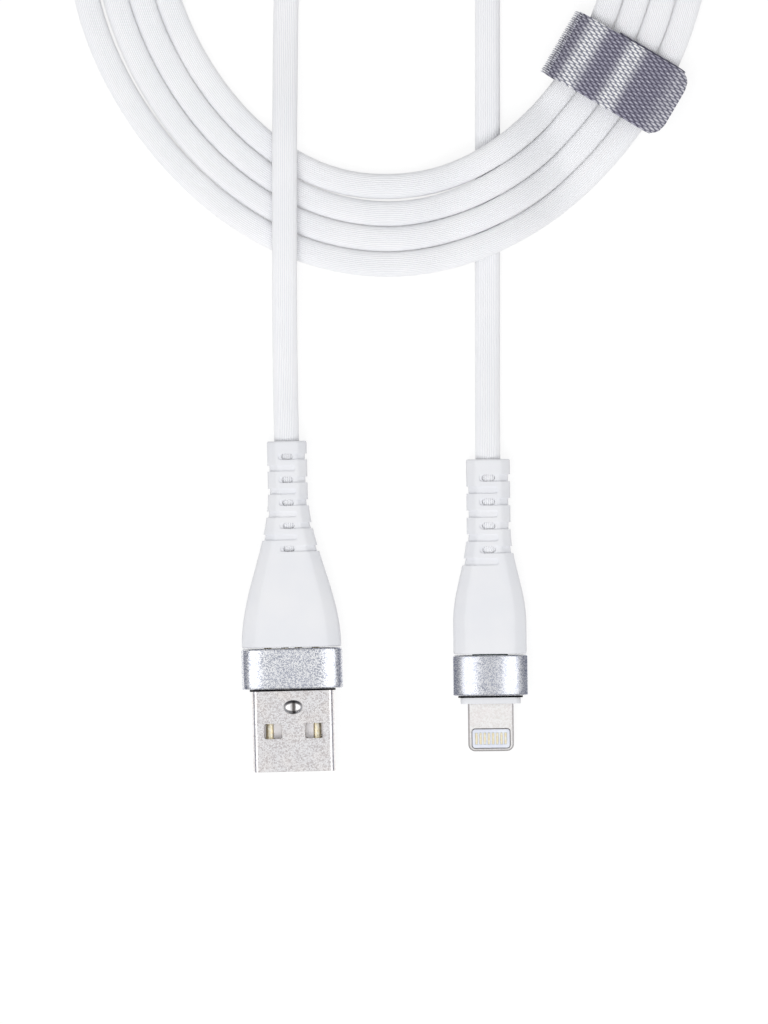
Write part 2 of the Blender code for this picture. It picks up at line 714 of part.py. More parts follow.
def make_contact_block(middle, carrier):
    """The moulded block in the tab's opening, and its rows of gold pads on both faces."""
    thick = TAB_THICKNESS / 2
    size = [side - 2 * FINE_GAP for side in BLOCK_SIZE]
    outline = rounded_outline((0.0, middle), *size, BLOCK_RADIUS - FINE_GAP)
    block = piece(
        "slim_plug_contact_block", [plate_loops(outline, -thick, thick)],
        pale_insulator(), carrier,
    )
    pocket_gap = FINE_GAP / 2
    pocket_size = [side + 2 * pocket_gap for side in PAD_SIZE]
    pocket_corner = PAD_CORNER + pocket_gap
    floor = thick + PAD_PROUD - PAD_THICKNESS - pocket_gap
    pockets = []
    for side, face in ((1, "top"), (-1, "bottom")):
        for i in range(PAD_COUNT):
            across = (i - (PAD_COUNT - 1) / 2) * PAD_PITCH
            plan = rounded_outline((across, middle), *pocket_size, pocket_corner, steps=1)
            pockets.append(plate_loops(plan, side * floor, side * TAB_THICKNESS))
            pad_plan = rounded_outline((across, middle), *PAD_SIZE, PAD_CORNER, steps=1)
            pad_low = side * (floor + pocket_gap)
            pad_high = side * (thick + PAD_PROUD)
            piece(
                f"slim_plug_pad_{face}_{i + 1}", [plate_loops(pad_plan, pad_low, pad_high)],
                gold_plate(), carrier,
            )
    cut(block, piece("block_pockets", pockets, None, carrier))


def make_collar(carrier):
    """The white collar round the tab's root, with a flange that fills the sleeve."""
    slit = (TAB_WIDTH + 2 * FINE_GAP, TAB_THICKNESS + 2 * FINE_GAP)
    flange = [side - 2 * SLEEVE_WALL - 2 * SEAT_GAP for side in SLIM_SLEEVE]
    shoulder = SLEEVE_FRONT + SEAT_GAP
    front = SLEEVE_FRONT - COLLAR_REACH
    back = SLEEVE_FRONT + TAB_HIDDEN
    flange_corner = SLIM_SLEEVE_CORNER - SLEEVE_WALL - SEAT_GAP
    loops = [
        rounded_section(front, *COLLAR_LIP, COLLAR_LIP_CORNER),
        rounded_section(shoulder, *COLLAR_LIP, COLLAR_LIP_CORNER),
        rounded_section(shoulder, *flange, flange_corner),
        rounded_section(back, *flange, flange_corner),
        rounded_section(back, *slit, COLLAR_SLIT_CORNER),
        rounded_section(front, *slit, COLLAR_SLIT_CORNER),
    ]
    piece("slim_plug_collar", [loops], white_boot(), carrier, ring=True)


def make_front_ring(carrier):
    """The thin dark ring in the sleeve's mouth, round the collar's lip."""
    inner = [side + 2 * FINE_GAP for side in COLLAR_LIP]
    outer = [side + 2 * SLIM_RING_WALL for side in inner]
    corner = COLLAR_LIP_CORNER + FINE_GAP
    front = SLEEVE_FRONT - FRONT_LIP_REACH
    back = SLEEVE_FRONT + SEAT_GAP - FINE_GAP
    loops = [
        rounded_section(front, *outer, corner + SLIM_RING_WALL),
        rounded_section(back, *outer, corner + SLIM_RING_WALL),
        rounded_section(back, *inner, corner),
        rounded_section(front, *inner, corner),
    ]
    piece("slim_plug_front_ring", [loops], black_plastic(), carrier, ring=True)


def make_board(carrier):
    """The small circuit board behind the tab, and the controller chip on it."""
    start = SLEEVE_FRONT - BOARD_INSET
    half = BOARD_SIZE[0] / 2
    thick = BOARD_SIZE[1] / 2
    end = start + BOARD_LENGTH
    piece(
        "slim_plug_board", [box_loops((-half, start, -thick), (half, end, thick))],
        circuit_green(), carrier,
    )
    chip_half = CHIP_SIZE[0] / 2
    chip_start = end - CHIP_SETBACK - CHIP_SIZE[1]
    chip_low = thick + FINE_GAP
    piece(
        "slim_plug_chip",
        [box_loops(
            (-chip_half, chip_start, chip_low),
            (chip_half, chip_start + CHIP_SIZE[1], chip_low + CHIP_SIZE[2]),
        )],
        black_plastic(), carrier,
    )
    middle = (len(CONTACT_KINDS) - 1) / 2
    return {
        kind: ((i - middle) * BOARD_WIRE_PITCH, end + SEAT_GAP, 0.0)
        for i, kind in enumerate(CONTACT_KINDS)
    }


def make_slim_plug():
    """All thirty-one pieces of the phone plug."""
    carrier = empty_at(
        "slim_plug", (*SLIM_PLUG_PLACE, SLIM_AXIS_HEIGHT), SLIM_PLUG_TURN
    )
    block_middle = make_tab_frame(carrier)
    make_contact_block(block_middle, carrier)
    make_collar(carrier)
    make_front_ring(carrier)
    wire_starts = make_board(carrier)
    make_sleeve("slim_plug_sleeve", SLIM_SLEEVE, SLIM_SLEEVE_CORNER, carrier)
    shape = (
        SLIM_BOOT_LENGTH, SLIM_BOOT_FRONT, SLIM_BOOT_END, SLIM_BOOT_FLARE, SLIM_BOOT_CORNERS,
    )
    relief = (
        SLIM_RELIEF_COUNT, SLIM_RELIEF_PITCH, SLIM_RELIEF_END, SLIM_SLOT,
        SLIM_GROOVE_WIDTH, SLIM_GROOVE_START, SLIM_GROOVE_STOP,
    )
    make_boot("slim_plug_boot", shape, SLIM_CAN, SLIM_CAN_LENGTH, relief, carrier)
    make_can("slim_plug_shield_can", SLIM_CAN, SLIM_CAN_LENGTH, carrier)
    make_cord_end("slim_plug", SLIM_CAN_LENGTH, SLIM_BOOT_LENGTH, wire_starts, carrier)


# ---------------------------------------------------------------- coil and cord

def lane_frame(angle, inset):
    """A point inside the coil's outer edge, and the way out of the coil there."""
    turn = math.radians(angle)
    radius = COIL_RADIUS
    slope = 0.0
    for order, swell in enumerate(COIL_SWELLS, 1):
        radius += swell * math.cos(order * turn)
        slope -= order * swell * math.sin(order * turn)
    outward = Vector((math.sin(turn), -math.cos(turn), 0.0))
    onward = Vector((math.cos(turn), math.sin(turn), 0.0))
    tangent = (slope * outward + radius * onward).normalized()
    normal = Vector((tangent.y, -tangent.x, 0.0))
    place = Vector((*COIL_CENTRE, 0.0)) + radius * outward - inset * normal
    return place, normal


def crossing_angle(inset):
    """Where a turn passes over the slim stretch, found by halving."""
    low, high = 0.0, 60.0
    for _ in range(30):
        middle = (low + high) / 2
        if lane_frame(middle, inset)[0].x < CROSSING_X:
            low = middle
        else:
            high = middle
    return low


def strand_height(place, angle, inset):
    """Height of a strand's axis: on the table, on the strap's tape, or over the other strand."""
    radius = math.hypot(place.x - COIL_CENTRE[0], place.y - COIL_CENTRE[1])
    along = radius * math.radians(abs(angle - crossing_angle(inset)))
    crossing = CROSSING_RISE * (1 - ease((along - HUMP_FLAT) / HUMP_SLOPE))
    off = angle - STRAP_ANGLE
    reach = STRAP_LIFT_TAIL if off > 0 else STRAP_LIFT_LEAD
    strap = STRAP_RISE * (1 - ease((abs(off) - reach) / STRAP_LIFT_SLOPE))
    return CORD_RADIUS + (crossing ** 4 + strap ** 4) ** 0.25


def coil_point(wound):
    """The coil's axis after it has wound clockwise through an angle."""
    turn, within = divmod(wound, 360.0)
    angle = OPEN_ANGLE - within
    if angle < -180:
        angle += 360.0
    parallel = 2 * OPEN_ANGLE
    step_in = ease((within - parallel) / (360.0 - parallel))
    inset = CORD_RADIUS + TURN_PITCH * (turn + step_in)
    from_start = wound / END_SPREAD_ANGLE
    from_end = (WOUND_IN_ALL - wound) / END_SPREAD_ANGLE
    inset += END_SPREAD * (ease(1 - from_end) - ease(1 - from_start))
    place, _ = lane_frame(angle, inset)
    place.z = strand_height(place, angle, inset)
    return place


def coil_points():
    """The coil's axis, with a straight run of one diameter at each end."""
    count = math.ceil(WOUND_IN_ALL / 360.0 * POINTS_PER_TURN)
    axis = [coil_point(WOUND_IN_ALL * i / count) for i in range(count + 1)]
    nudge = 0.2
    first = (axis[0] - coil_point(nudge)).normalized()
    last = (axis[-1] - coil_point(WOUND_IN_ALL - nudge)).normalized()
    return [axis[0] + first * CORD_DIAMETER] + axis + [axis[-1] + last * CORD_DIAMETER]


def least_gap(points):
    """The least gap of the coil to itself, from places at least half a turn apart."""
    parts = 4
    rows = np.array([
        tuple(a.lerp(b, i / parts)) for a, b in zip(points, points[1:]) for i in range(parts)
    ])
    apart = parts * POINTS_PER_TURN // 2
    away = [np.linalg.norm(rows[i + apart:] - row, axis=1).min()
            for i, row in enumerate(rows[:-apart])]
    return min(away) - CORD_DIAMETER


def boot_exit(carrier_place, turn, length, height):
    """Where the cord leaves a boot, and its direction."""
    lean = math.radians(turn)
    onward = Vector((-math.sin(lean), math.cos(lean), 0.0))
    place = Vector((*carrier_place, height)) + onward * (BOOT_START + length)
    return place, onward


def stretch_points(start, onward, route, end, arriving):
    """A stretch from a boot to the coil, straight for one diameter at both ends."""
    start = start + onward * SEAT_GAP
    leave = [start + onward * CORD_DIAMETER * share for share in (0.0, 0.5, 1.0)]
    arrive = [end - arriving * CORD_DIAMETER * share for share in (1.0, 0.5, 0.0)]
    curve = smooth_curve(leave + [Vector(p) for p in route] + arrive, STEP_ALONG)
    clear = 2 * CORD_DIAMETER
    middle = [p for p in curve if (p - start).length > clear and (p - end).length > clear]
    return [leave[0], leave[-1]] + middle + [arrive[0], arrive[-1]]


def path_length(points):
    """How long a row of points is, from end to end."""
    return sum((b - a).length for a, b in zip(points, points[1:]))


def tightest_bend(points):
    """The least radius of a circle through three neighbouring points."""
    least = math.inf
    for a, b, c in zip(points, points[1:], points[2:]):
        area = (b - a).cross(c - a).length / 2
        if area > 1e-6:
            least = min(least, (b - a).length * (c - b).length * (c - a).length / (4 * area))
    return least


def make_cord():
    """The cord's loose stretch at each plug and the coil between them."""
    coil = coil_points()
    into_coil = (coil[1] - coil[0]).normalized()
    out_of_coil = (coil[-1] - coil[-2]).normalized()
    wide_start, wide_onward = boot_exit(
        (0.0, 0.0), WIDE_PLUG_TURN, WIDE_BOOT_LENGTH, WIDE_AXIS_HEIGHT
    )
    slim_start, slim_onward = boot_exit(
        SLIM_PLUG_PLACE, SLIM_PLUG_TURN, SLIM_BOOT_LENGTH, SLIM_AXIS_HEIGHT
    )
    wide = stretch_points(
        wide_start, wide_onward, WIDE_ROUTE, coil[0] - into_coil * SEAT_GAP, into_coil
    )
    slim = stretch_points(
        slim_start, slim_onward, SLIM_ROUTE, coil[-1] + out_of_coil * SEAT_GAP, -out_of_coil
    )
    tube("cord_wide_stretch", wide, CORD_DIAMETER, 2, white_jacket())
    tube("cord_coil", coil, CORD_DIAMETER, 1, white_jacket())
    tube("cord_slim_stretch", slim, CORD_DIAMETER, 2, white_jacket())
    lengths = [path_length(points) for points in (wide, coil, slim)]
    print("cord lengths in mm, wide stretch, coil, slim stretch:", [round(v, 1) for v in lengths])
    print("cord length between the boots in mm:", round(sum(lengths) + 4 * SEAT_GAP, 1))
    print("tightest bends in mm:", [round(tightest_bend(p), 1) for p in (wide, coil, slim)])
    print("least gap of the coil to itself in mm:", round(least_gap(coil), 3))


# ---------------------------------------------------------------- strap

def tape_path():
    """The tape's middle line round the strands, in its own u and z, up to the tongue's fold."""
    outer_axis = LANE_SPAN / 2
    low = TAPE_THICKNESS / 2
    strand = CORD_RADIUS + STRAP_RISE
    lower_layer = strand + CORD_RADIUS + SEAT_GAP + low
    tongue = lower_layer + 2 * low + HOOK_PAD_THICKNESS + 2 * LAYER_GAP
    outer_turn = (lower_layer - low) / 2
    inner_turn = (tongue - low) / 2
    outer_u = outer_axis + STRAP_SLACK
    path = [(outer_axis - STRAP_OVERLAP + (STRAP_OVERLAP + STRAP_SLACK) * i / 4, lower_layer)
            for i in range(4)]
    for i in range(9):
        angle = math.radians(90 - 180 * i / 8)
        path.append((
            outer_u + outer_turn * math.cos(angle), low + outer_turn + outer_turn * math.sin(angle)
        ))
    for i in range(1, 4):
        path.append((outer_u - (outer_u + outer_axis + INNER_SLACK) * i / 4, low))
    for i in range(11):
        angle = math.radians(-90 - 180 * i / 10)
        path.append((
            -outer_axis - INNER_SLACK + inner_turn * math.cos(angle),
            low + inner_turn + inner_turn * math.sin(angle),
        ))
    return path, tongue


def make_strap():
    """The woven tape round the turns, its free tongue, and the hook pad under the tongue."""
    middle_inset = CORD_RADIUS + LANE_SPAN / 2
    place, outward = lane_frame(STRAP_ANGLE, middle_inset)
    turn = math.degrees(math.atan2(outward.y, outward.x))
    carrier = empty_at("strap", place, turn)
    path, tongue_height = tape_path()
    half = STRAP_WIDTH / 2
    thick = TAPE_THICKNESS / 2
    loops = []
    count = len(path) - 1
    for i, (u, z) in enumerate(path):
        before, after = path[max(i - 1, 0)], path[min(i + 1, count)]
        run = Vector((after[0] - before[0], after[1] - before[1])).normalized()
        side = Vector((-run.y, run.x)) * thick
        slip = STRAP_SKEW * (1 - i / count)
        loops.append([
            (u + side.x, -half + slip, z + side.y), (u + side.x, half + slip, z + side.y),
            (u - side.x, half + slip, z - side.y), (u - side.x, -half + slip, z - side.y),
        ])
    piece("strap_band", [loops], woven_silver(), carrier)
    fold = path[-1][0]
    start = fold + SEAT_GAP
    outer_axis = LANE_SPAN / 2
    end = outer_axis + TONGUE_OVERHANG
    outline = [(start, half), (start, -half)]
    for side, first in ((-1, 270), (1, 0)):
        corner = (end - TONGUE_CORNER, side * (half - TONGUE_CORNER))
        outline += quarter_arc(corner, TONGUE_CORNER, first)
    piece(
        "strap_tongue",
        [plate_loops(outline, tongue_height - thick, tongue_height + thick)],
        woven_silver(), carrier,
    )
    pad_top = tongue_height - thick - LAYER_GAP
    pad_half = half - HOOK_PAD_MARGIN
    pad = box_loops(
        (path[0][0] + HOOK_PAD_MARGIN, -pad_half, pad_top - HOOK_PAD_THICKNESS),
        (outer_axis + STRAP_SLACK, pad_half, pad_top),
    )
    piece("strap_hook_pad", [pad], hook_plastic(), carrier)
    hinge = place + outward * (fold + SEAT_GAP / 2)
    hinge.z = tongue_height + thick
    along = Vector((-outward.y, outward.x, 0.0))
    print("tongue hinge in mm:", [round(v, 3) for v in hinge], "along", [round(v, 5) for v in along])
    pivot = centre_of_bend(STRAP_ANGLE, middle_inset)
    print("centre that the strap slides about, in mm:", [round(v, 3) for v in pivot])


def centre_of_bend(angle, inset):
    """The centre of the circle that the strands follow at one place round the coil."""
    reach = 10.0
    a, b, c = (lane_frame(angle + off, inset)[0] for off in (-reach, 0.0, reach))
    matrix = np.array([[2 * (b.x - a.x), 2 * (b.y - a.y)], [2 * (c.x - b.x), 2 * (c.y - b.y)]])
    right = np.array([
        b.x ** 2 - a.x ** 2 + b.y ** 2 - a.y ** 2, c.x ** 2 - b.x ** 2 + c.y ** 2 - b.y ** 2,
    ])
    return np.linalg.solve(matrix, right)


make_wide_plug()
make_slim_plug()
make_cord()
make_strap()
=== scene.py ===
"""A white charging cable on a pale table, seen from straight above.

The ribbed cord, the moulded boots, the blasted sleeves, the rolled shell and the woven strap are
made here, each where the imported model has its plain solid. Lengths are in metres.
"""
import json
import math

import bmesh
import bpy
import numpy as np
from mathutils import Matrix, Vector


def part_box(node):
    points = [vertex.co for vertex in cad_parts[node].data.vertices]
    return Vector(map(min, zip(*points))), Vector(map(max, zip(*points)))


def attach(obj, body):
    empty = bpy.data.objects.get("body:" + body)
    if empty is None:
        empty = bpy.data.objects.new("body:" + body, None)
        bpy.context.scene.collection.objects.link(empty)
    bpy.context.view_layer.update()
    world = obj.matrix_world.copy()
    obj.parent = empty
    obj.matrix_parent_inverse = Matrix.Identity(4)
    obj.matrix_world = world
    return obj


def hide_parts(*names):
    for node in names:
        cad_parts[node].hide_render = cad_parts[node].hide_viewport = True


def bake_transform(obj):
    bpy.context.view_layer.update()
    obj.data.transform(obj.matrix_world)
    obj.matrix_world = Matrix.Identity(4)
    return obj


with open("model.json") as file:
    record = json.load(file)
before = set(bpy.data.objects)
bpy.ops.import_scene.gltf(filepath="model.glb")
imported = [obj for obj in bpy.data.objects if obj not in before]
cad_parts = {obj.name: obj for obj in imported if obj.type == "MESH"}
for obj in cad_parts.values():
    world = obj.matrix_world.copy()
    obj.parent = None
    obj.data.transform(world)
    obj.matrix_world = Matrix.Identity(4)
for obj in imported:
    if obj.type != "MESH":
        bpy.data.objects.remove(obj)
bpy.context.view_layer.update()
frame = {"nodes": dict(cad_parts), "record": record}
NODES = frame["nodes"]
MM = 0.001

# ---------------------------------------------------------------- sizes

# The picture: its frame in pixels, a pixel at the table, and the pixel of the frame's origin
PICTURE = (768, 1024)
PIXEL = 0.146 * MM
ORIGIN_PIXEL = (292, 669)
EYE_HEIGHT = 1.5
SENSOR = 36.0

# Cord
CORD_DIAMETER = 3.66 * MM        # over the ribs
RIB_COUNT = 40
RIB_HEIGHT = 0.1 * MM
CORD_POWER = 2.6                 # of its squarish section, round where it enters the boots
ROUND_REACH = 9.0 * MM           # beyond the boots' ends
TURN_PITCH = 3.7 * MM
CORD_STEP = 2.4 * MM
CORD_SINK = 0.03 * MM            # how far the soft cord is pressed flat on the table

# Coil, as in the part's source
COIL_CENTRE = (14.0 * MM, 103.5 * MM)
COIL_RADIUS = 45.5 * MM
COIL_SWELLS = (0.3 * MM, -1.3 * MM, 1.6 * MM)
COIL_TURNS = 4
COIL_EDGE = 1.8 * MM             # from the outer edge to the outermost strand's axis
OPEN_ANGLE = 104.0
END_SPREAD = 1.1 * MM
END_SPREAD_ANGLE = 25.0
WOUND_IN_ALL = 360.0 * (COIL_TURNS - 1) + 2 * OPEN_ANGLE
POINTS_PER_TURN = 120
LOOSE_PLACES = ((1, -76.0, 24.0, 0.4), (3, 2.0, 15.0, 0.34))  # lane, angle, spread, gap in mm
HUMP_FLAT = 1.0 * MM
HUMP_SLOPE = 13.5 * MM
CROSSING_RISE = 4.1 * MM
CROSSING_X = 28.6 * MM
STRAP_ANGLE = 63.0
STRAP_RISE = 1.0 * MM
STRAP_LIFT = (10.0, 26.0, 14.0)  # lead, tail and slope, in degrees round the coil

WIDE_ROUTE = [
    (-0.00105, 0.046, 0.0036), (-0.0011, 0.0535, 0.0049), (-0.0011, 0.061, 0.00575),
    (-0.0011, 0.0685, 0.0058), (-0.0011, 0.076, 0.00575), (-0.00105, 0.0835, 0.0046),
    (-0.001, 0.091, 0.0027), (-0.0009, 0.098, 0.00185), (-0.0003, 0.106, 0.0022),
    (0.0018, 0.1145, 0.004), (0.006, 0.1228, 0.0056), (0.0126, 0.13, 0.0058),
    (0.0205, 0.1358, 0.0058), (0.0295, 0.1394, 0.0058), (0.0386, 0.1393, 0.0056),
    (0.0466, 0.1352, 0.0042), (0.0532, 0.129, 0.0024),
]
SLIM_ROUTE = [
    (0.0286, 0.044, 0.002), (CROSSING_X, 0.054, 0.0018), (CROSSING_X, 0.064, 0.0018),
    (CROSSING_X, 0.074, 0.0018), (CROSSING_X, 0.084, 0.0018), (CROSSING_X, 0.094, 0.0018),
    (0.0284, 0.103, 0.0018), (0.027, 0.1115, 0.0018), (0.0234, 0.1196, 0.0018),
    (0.0172, 0.126, 0.0018), (0.009, 0.1296, 0.0018), (0.0004, 0.1296, 0.0018),
    (-0.0074, 0.127, 0.0018), (-0.0136, 0.1226, 0.0018),
]

# Plugs: where each carrier stands and how it is turned, and its local places along the cord
WIDE_PLACE = Matrix.Translation((0, 0, 3.7 * MM)) @ Matrix.Rotation(math.radians(1.4), 4, "Z")
SLIM_PLACE = (
    Matrix.Translation((29.0 * MM, -1.0 * MM, 3.2 * MM))
    @ Matrix.Rotation(math.radians(0.65), 4, "Z")
)
SLEEVE_FRONT = -3.03 * MM
SLEEVE_BACK = 3.03 * MM
BOOT_START = 3.15 * MM
SLEEVE_WALL = 0.6 * MM
SLEEVE_TRIM = 0.1 * MM           # its front edge stands back from the dark ring
SLEEVE_TURNED = 0.22 * MM        # the rounding of its ends
SLEEVE_STEP = 0.9 * MM
SLEEVE_POINTS = 96
METAL_ROUNDING = 0.05 * MM       # of the shell's and the tab's cut edges

WIDE_SLEEVE = (14.75 * MM, 7.4 * MM)
SLIM_SLEEVE = (10.9 * MM, 6.4 * MM)
SHELL = (12.0 * MM, 4.5 * MM)
SHELL_WALL = 0.3 * MM
SHELL_REACH = 12.0 * MM
SHELL_HIDDEN = 5.5 * MM
SHELL_CORNER = 0.75 * MM
TAB = (6.65 * MM, 1.5 * MM)
TAB_REACH = 8.05 * MM
TAB_CHAMFER = 0.24 * MM
COLLAR = (8.8 * MM, 3.5 * MM)
COLLAR_REACH = 1.1 * MM
COLLAR_ROOM = 1.4 * MM           # of its flange in the sleeve, both sides together
COLLAR_SHOULDER = 0.3 * MM
COLLAR_SLIT_GAP = 0.1 * MM
BLOCK = (5.7 * MM, 2.95 * MM)
BLOCK_MARGIN = 0.38 * MM
BLOCK_CORNER = 0.5 * MM
BLOCK_GAP = 0.12 * MM
BLOCK_ROUNDING = 0.04 * MM
BLOCK_RECESS = 0.4 * MM          # on either side of the tab's middle web
BOARD_SLOT = (5.44 * MM, 0.84 * MM)
BOARD_REACH = 3.42 * MM          # of its slot, ahead of the sleeve
TAB_CORNER = 1.0 * MM
TAB_HIDDEN = 4.6 * MM
PAD_COUNT = 8
PAD_PITCH = 0.61 * MM
PAD = (0.31 * MM, 1.68 * MM)
PAD_GAP = 0.04 * MM
POCKET_DEPTH = 0.22 * MM
POCKET_CORNER = 0.12 * MM

# Each boot, in mm but for its length: its sections at front and end, where it flares from one to
# the other, its bevels, the can in it and where the cord starts, and its slots and grooves
BOOTS = {
    "wide": {
        "length": 30.15 * MM, "front": (14.55, 7.0), "end": (5.8, 5.6), "flare": (0.0, 23.0),
        "bevels": ((2.3, 1.5), (1.35, 1.2)), "can": (9.8, 5.0), "can_end": 10.0, "cord_from": 13.7,
        "slots": 5, "pitch": 3.36, "first": 2.3, "slot": (1.7, 0.9), "groove": 0.86,
        "reach": (1.3, 1.2),
    },
    "slim": {
        "length": 28.5 * MM, "front": (10.7, 6.0), "end": (6.4, 5.4), "flare": (4.5, 18.5),
        "bevels": ((1.9, 1.4), (1.4, 1.2)), "can": (8.4, 4.8), "can_end": 8.8, "cord_from": 12.5,
        "slots": 4, "pitch": 3.5, "first": 2.75, "slot": (1.9, 1.0), "groove": 1.05,
        "reach": (1.35, 1.4),
    },
}
PLAIN_GROOVES = 4
GROOVE_DEPTH = 0.3 * MM
GROOVE_ROUND = 0.45              # corner radius beside the groove's width
SLOT_ROUND = 0.49
BOOT_EDGE = 0.35 * MM            # the rounding at both ends reaches this far
BOOT_TUCK = 0.2 * MM
CUT_ROUNDING = 0.07 * MM         # of the slots' and grooves' edges
CAN_BEVEL = (1.0 * MM, 1.0 * MM)
PARTING_WIDTH = 0.08 * MM
CORD_BORE = 3.94 * MM
RELIEF_BORE = 4.6 * MM           # behind the snug last millimetre at the boot's end
RELIEF_SNUG = 1.1 * MM
JACKET_END_DIAMETER = 4.24 * MM
JACKET_END_GAP = 0.1 * MM        # to the ferrule and to the snug end of the boot
JACKET_END_EDGE = 0.25 * MM
FERRULE_BORE = 5.14 * MM
FERRULE_ROOM = 2.6 * MM

# Strap
STRAP_WIDTH = 10.4 * MM
TAPE_THICKNESS = 0.7 * MM
STRAP_OVERLAP = 8.3 * MM
STRAP_SLACK = 0.25 * MM
INNER_SLACK = 0.3 * MM
STRAP_SKEW = 0.37 * MM
TONGUE_OVERHANG = 4.1 * MM
TONGUE_CORNER = 2.2 * MM
HOOK_ROOM = 0.54 * MM            # between the lower layer and the tongue
LANE_SPAN = 11.34 * MM


# ---------------------------------------------------------------- shader helpers

class Value:
    """A number or colour on a node's socket, with Python's arithmetic for numbers."""

    def __init__(self, wiring, socket):
        self.wiring = wiring
        self.socket = socket

    def math(self, operation, *others):
        inputs = dict(enumerate((self, *others)))
        return self.wiring.node("Math", {"operation": operation}, inputs)

    def __add__(self, other):
        return self.math("ADD", other)

    def __sub__(self, other):
        return self.math("SUBTRACT", other)

    def __mul__(self, other):
        return self.math("MULTIPLY", other)

    def __truediv__(self, other):
        return self.math("DIVIDE", other)

    def __rsub__(self, other):
        return self.wiring.node("Math", {"operation": "SUBTRACT"}, {0: other, 1: self})

    __radd__ = __add__
    __rmul__ = __mul__

    def clear(self, low, high):
        """A smooth rise from 0 at low to 1 at high."""
        settings = {"interpolation_type": "SMOOTHSTEP"}
        return self.wiring.node("MapRange", settings, {0: self, 1: low, 2: high, 3: 0.0, 4: 1.0})


def set_stops(ramp, stops):
    """Give a new ramp, which has an end at 0 and one at 1, a colour at each of its stops."""
    for at, _ in stops[1:-1]:
        ramp.elements.new(at)
    for element, (_, colour) in zip(ramp.elements, stops):
        element.color = colour


class Wiring:
    """The nodes of one tree."""

    def __init__(self, tree):
        self.tree = tree

    def node(self, kind, settings=None, inputs=None, output=0):
        """A new node with its settings, and with values or links on its inputs."""
        made = self.tree.nodes.new("ShaderNode" + kind)
        for setting, value in (settings or {}).items():
            if setting == "stops":
                set_stops(made.color_ramp, value)
            else:
                setattr(made, setting, value)
        for socket, value in (inputs or {}).items():
            self.feed(made.inputs[socket], value)
        return Value(self, made.outputs[output])

    def feed(self, socket, value):
        if isinstance(value, Value):
            self.tree.links.new(value.socket, socket)
        else:
            socket.default_value = value

    def mix(self, share, low, high):
        """One colour going over into another."""
        inputs = {0: share, 6: low, 7: high}
        return self.node("Mix", {"data_type": "RGBA"}, inputs, output=2)


class Paint(Wiring):
    """One material, and the nodes that feed its shader."""

    def __init__(self, name, **constants):
        self.material = bpy.data.materials.new(name)
        self.material.use_nodes = True
        super().__init__(self.material.node_tree)
        self.shader = self.tree.nodes["Principled BSDF"]
        for socket, value in constants.items():
            self.shader.inputs[socket.replace("_", " ")].default_value = value

    def colour(self, value):
        self.feed(self.shader.inputs["Base Color"], value)

    def roughness(self, value):
        self.feed(self.shader.inputs["Roughness"], value)

    def bump(self, height, distance, strength=1.0):
        inputs = {"Strength": strength, "Distance": distance, "Height": height}
        self.feed(self.shader.inputs["Normal"], self.node("Bump", inputs=inputs))

    def place(self):
        """Where a point of the piece lies, in metres."""
        return self.node("TexCoord", output="Object")

    def stretched(self, scale):
        """The same place, stretched along each axis."""
        inputs = {0: self.place(), 1: scale}
        return self.node("VectorMath", {"operation": "MULTIPLY"}, inputs)

    def noise(self, size, detail=2.0, at=None):
        """Soft noise around 0.5, with grains of about one size."""
        inputs = {"Vector": at or self.place(), "Scale": 1.0 / size, "Detail": detail}
        return self.node("TexNoise", inputs=inputs)

    def grains(self, size):
        """A random level for each grain of a blasted face, from 0 to 1."""
        inputs = {"Vector": self.place(), "Scale": 1.0 / size}
        grain = self.node("TexVoronoi", inputs=inputs, output="Color")
        return self.node("SeparateColor", inputs={0: grain})

    def trait(self, name):
        """A number that the mesh keeps at each of its points."""
        return self.node("Attribute", {"attribute_name": name}, output="Fac")


def tint(red, green, blue):
    """An opaque colour."""
    return (red, green, blue, 1.0)


# ---------------------------------------------------------------- finishes

def jacket_finish():
    """Soft white elastomer: painted shade darkens the valleys between the ribs, with faint handling
    marks.
    """
    paint = Paint("white_jacket", Specular_IOR_Level=0.35)
    crest = paint.trait("rib").clear(0.0, 0.8)
    marks = paint.noise(9 * MM).clear(0.35, 0.7)
    clean = paint.mix(marks, tint(0.935, 0.94, 0.96), tint(0.965, 0.965, 0.98))
    # painted shade: the rib valleys go over to a darker grey than the crests
    paint.colour(paint.mix(crest, tint(0.76, 0.77, 0.805), clean))
    grain = paint.noise(0.35 * MM)
    paint.roughness(0.4 + 0.14 * marks + 0.06 * grain)
    paint.bump(grain, 0.005 * MM, 0.3)
    return paint.material


def boot_finish():
    """Satin moulded plastic, with a fine spark-eroded texture and a faint parting line."""
    paint = Paint("white_boot", Specular_IOR_Level=0.4)
    cloud = paint.noise(6 * MM).clear(0.3, 0.75)
    paint.colour(paint.mix(cloud, tint(0.81, 0.82, 0.855), tint(0.845, 0.85, 0.875)))
    spark = paint.noise(0.16 * MM)
    paint.roughness(0.4 + 0.1 * cloud + 0.08 * spark)
    parting = paint.trait("parting")
    paint.bump(0.25 * spark + parting, 0.03 * MM, 0.6)
    return paint.material


def sleeve_finish(name, shade, dull):
    """Bead-blasted aluminium: a sparkle of fine dents, the dull ones a share of the shade."""
    paint = Paint(name, Metallic=1.0)
    sparkle = (0.9 * paint.grains(0.13 * MM) + 0.1 * paint.grains(0.24 * MM)).clear(0.15, 0.7)
    haze = paint.noise(2.2 * MM).clear(0.3, 0.7)
    dark = paint.mix(haze, *(
        tint(level, 1.04 * level, 1.2 * level) for level in (dull * shade, (dull + 0.06) * shade)
    ))
    paint.colour(paint.mix(sparkle, dark, tint(shade, shade, 1.02 * shade)))
    paint.roughness(0.14 + 0.12 * sparkle + 0.04 * haze)
    paint.bump(paint.noise(0.2 * MM), 0.01 * MM, 0.4)
    return paint.material


